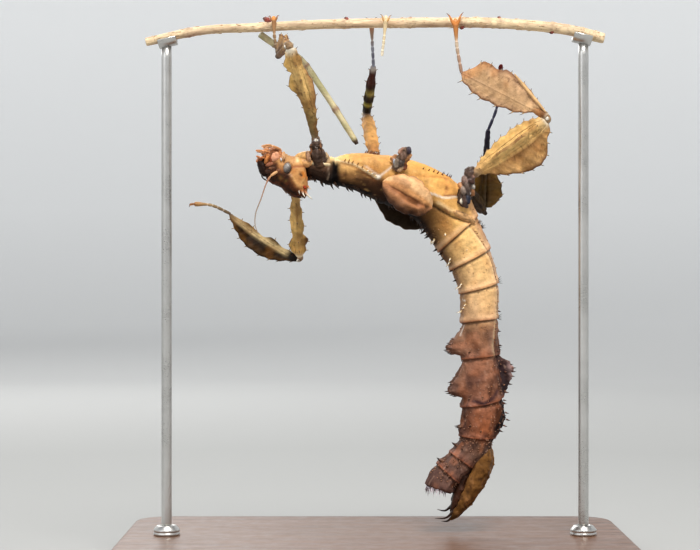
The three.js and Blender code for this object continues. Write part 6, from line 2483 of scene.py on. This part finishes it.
@dataclass
class Studio:
    """A plain pale floor that curves up into a bowl, soft lamps and the camera.

    Attributes:
        eye: place of the camera, in millimetres.
        lens: focal length, in millimetres.
        aim: what the lamps point at, in metres.
        bowl: radius and height of each ring of the floor, in metres.
    """

    eye: Point = (-6.0, -466.67, 68.4)
    lens: float = 100.0
    aim: Point = (0.0, 0.0, 0.075)
    bowl: tuple[tuple[float, float], ...] = (
        (1e-4, 0), (0.1, 0), (0.25, 0), (0.5, 0), (0.8, 0), (1.1, 0.03), (1.4, 0.13), (1.65, 0.32),
        (1.85, 0.6), (1.98, 0.95), (2.05, 1.35), (2.08, 1.9),
    )

    def floor(self) -> None:
        """A round floor that rolls up into a wall on every side: one profile spun about Z, with painted light
        on its paper.
        """
        grid = spun(*np.array(self.bowl).T, 96)
        mesh = bpy.data.meshes.new("floor")
        mesh.from_pydata(grid.reshape(-1, 3).tolist(), [], weave(*grid.shape[:2]).tolist())
        g = Graph("floor_paper")
        away = g.add("VectorMath", {0: g.place()}, 1, operation="LENGTH")
        # Painted light: the paper is darker in the middle and paler towards the wall, and it glows more
        # towards the wall, which evens out the lamps' fall-off.
        paper = g.tone(g.span(away, 0.3, 1.9, 0.0, 1.0), (0.40, 0.405, 0.40, 1), (0.93, 0.935, 0.93, 1))
        glow = g.span(away, 0.7, 1.9, 0.0, 0.26)
        g.set(Base_Color=paper, Roughness=0.95, Specular_IOR_Level=0.1)
        g.set(Emission_Color=(0.9, 0.92, 0.93, 1), Emission_Strength=glow)
        g.bump(g.noise(900, 2), 0.0002, 0.3)
        show("floor", mesh, g.material)

    def lamp(self, name: str, place: Point, size: float, power: float, hue: Point) -> None:
        """A square soft lamp aimed at the insect."""
        light = bpy.data.lights.new(name, "AREA")
        light.size, light.energy, light.color = size, power, hue
        thing = bpy.data.objects.new(name, light)
        thing.location = place
        thing.rotation_euler = (Vector(self.aim) - Vector(place)).to_track_quat("-Z", "Y").to_euler()
        bpy.context.scene.collection.objects.link(thing)

    def light(self) -> None:
        """Key lamp above the front right, weak fill and rim, and a pale sky."""
        self.lamp("key", (0.1, -0.42, 0.78), 0.3, 8.2, (1.0, 0.97, 0.92))
        self.lamp("fill", (-0.6, -0.55, 0.45), 0.6, 1.3, (0.95, 0.97, 1.0))
        self.lamp("rim", (-0.25, 0.6, 0.5), 0.5, 2.6, (1.0, 0.99, 0.97))
        world = bpy.data.worlds.new("sky")
        world.use_nodes = True
        hue, strength = world.node_tree.nodes["Background"].inputs[:2]
        hue.default_value, strength.default_value = (0.9, 0.93, 1.0, 1), 0.32
        bpy.context.scene.world = world
        bpy.context.scene.view_settings.view_transform = "Standard"

    def camera(self) -> None:
        """A level camera that looks along +Y."""
        data = bpy.data.cameras.new("camera")
        data.lens, data.sensor_width = self.lens, 36.0
        data.clip_start, data.clip_end = 0.01, 20.0
        thing = bpy.data.objects.new("camera", data)
        thing.location = Vector(self.eye) * MM
        thing.rotation_euler = (math.pi / 2, 0.0, 0.0)
        bpy.context.scene.collection.objects.link(thing)
        bpy.context.scene.camera = thing


# ---------------------------------------------------------------- assembly


def insect(cuticle: bpy.types.Material, horn: bpy.types.Material, leather: bpy.types.Material) -> None:
    """Builds the insect: one skin and its spines, then hips, eyes, antennae, mouth, feet, wings and tail."""
    trunk, head = Trunk(), Head()
    flesh, thorns = [trunk.shell(), head.shell()], [Prickles(trunk).shell(), head.crown()]
    hidden = ["head", "mid_right_stump", "prothorax", "mesothorax", "metathorax"]
    hidden += [f"abdomen_{number}" for number in range(1, 11)]
    for leg, joints in LEGS.items():
        for joint, limb in joints.items():
            skin, teeth = limb.build()
            flesh.append(skin)
            thorns += teeth
            hidden.append(f"{leg}_{joint}")
        flesh.append(knuckle(joints["coxa"], joints["femur"], 1.0, 0x78604C, 31))
        knee = 0x42301E if leg == "hind_left" else 0x967A5C
        flesh.append(knuckle(joints["femur"], joints["tibia"], 1.0, knee, 33))
    rib = Rail([(40.4, -6.7, 106.8), (36.6, -5.6, 111.6), (33.0, -4.9, 116.2)], RIGHT)
    flesh.append(tube(rib, 40, 12, 0.42 * dome(np.linspace(-0.98, 0.98, 40)), 0xCCA474, 0.5))
    piece("insect_skin", Shell.join(flesh), cuticle, Slot.BODY, *hidden)
    piece("insect_spines", Shell.join(thorns), horn, Slot.BODY)
    hips = [lump(*row, 0.4, number, 24) for number, row in enumerate(HIP_LUMPS)]
    hips += [knot.shell() for knot in KNOTS.values()]
    for seed, leg in enumerate(("fore_left", "mid_left", "hind_left"), 3):
        hips.append(Knot.plain(LEGS[leg]["coxa"], seed).shell())
    piece("hip_knots", Shell.join(hips), horn, Slot.DARK)
    for side, eye in head.eyes().items():
        piece(f"eye_{side}_globe", eye, EyeGloss("eye_gloss").make(), Slot.EYE, f"eye_{side}")
    for side, feeler in Feelers().shells().items():
        piece(f"feeler_{side}", feeler, horn, Slot.FOOT, f"antenna_{side}")
    piece("mouth", Mouth().shell(), leather, Slot.BODY, "mouthparts")
    for leg, foot in FEET.items():
        piece(f"{leg}_tarsus", foot.shell(), horn, Slot.FOOT, f"{leg}_foot")
    for name, wing in WINGS.items():
        piece(f"{name}_blade", wing.shell(), leather, Slot.WING, name)
    piece("belly_scoop", SCOOP.shell(), cuticle, Slot.SCOOP, "operculum")
    piece("egg_valves", Shell.join([VALVES.shell(), tail_spines()]), horn, Slot.DARK, "ovipositor")


def main() -> None:
    """Builds the model in order: camera and stage, insect, perch and stand."""
    logging.basicConfig(level=logging.INFO, format="%(message)s")
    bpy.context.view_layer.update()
    studio = Studio()
    studio.camera()
    studio.light()
    studio.floor()

    insect(
        Cuticle("cuticle").make(),
        Cuticle("horn", 0.00003, 0.1, 0.12).make(),
        Cuticle("leather", 0.00008, 0.02, 0.2).make(),
    )

    bark = Bark("bark").make()
    for name, shell in Perch().shells().items():
        piece(f"{name}_bark", shell, bark, Slot.TWIG, name)
    thin_skin = Cuticle("cast_skin", 0.00004, 0.2, 0.12).make()
    piece("cast_foot_skin", CAST.shell(), thin_skin, Slot.CAST, "cast_foot")
    stand, steel = Stand(), BrushedSteel("brushed_steel").make()
    piece("stand_slab", stand.slab(), OiledWood("oiled_wood").make(), Slot.WOOD, "stand_base")
    for side, sign in (("left", -1), ("right", 1)):
        piece(f"stand_post_{side}", stand.rod_and_saddle(sign), steel, Slot.STEEL, f"stand_rod_{side}")
        piece(f"stand_ring_{side}", stand.collar(sign), steel, Slot.STEEL, f"stand_collar_{side}")


if __name__ == "__main__":
    main()
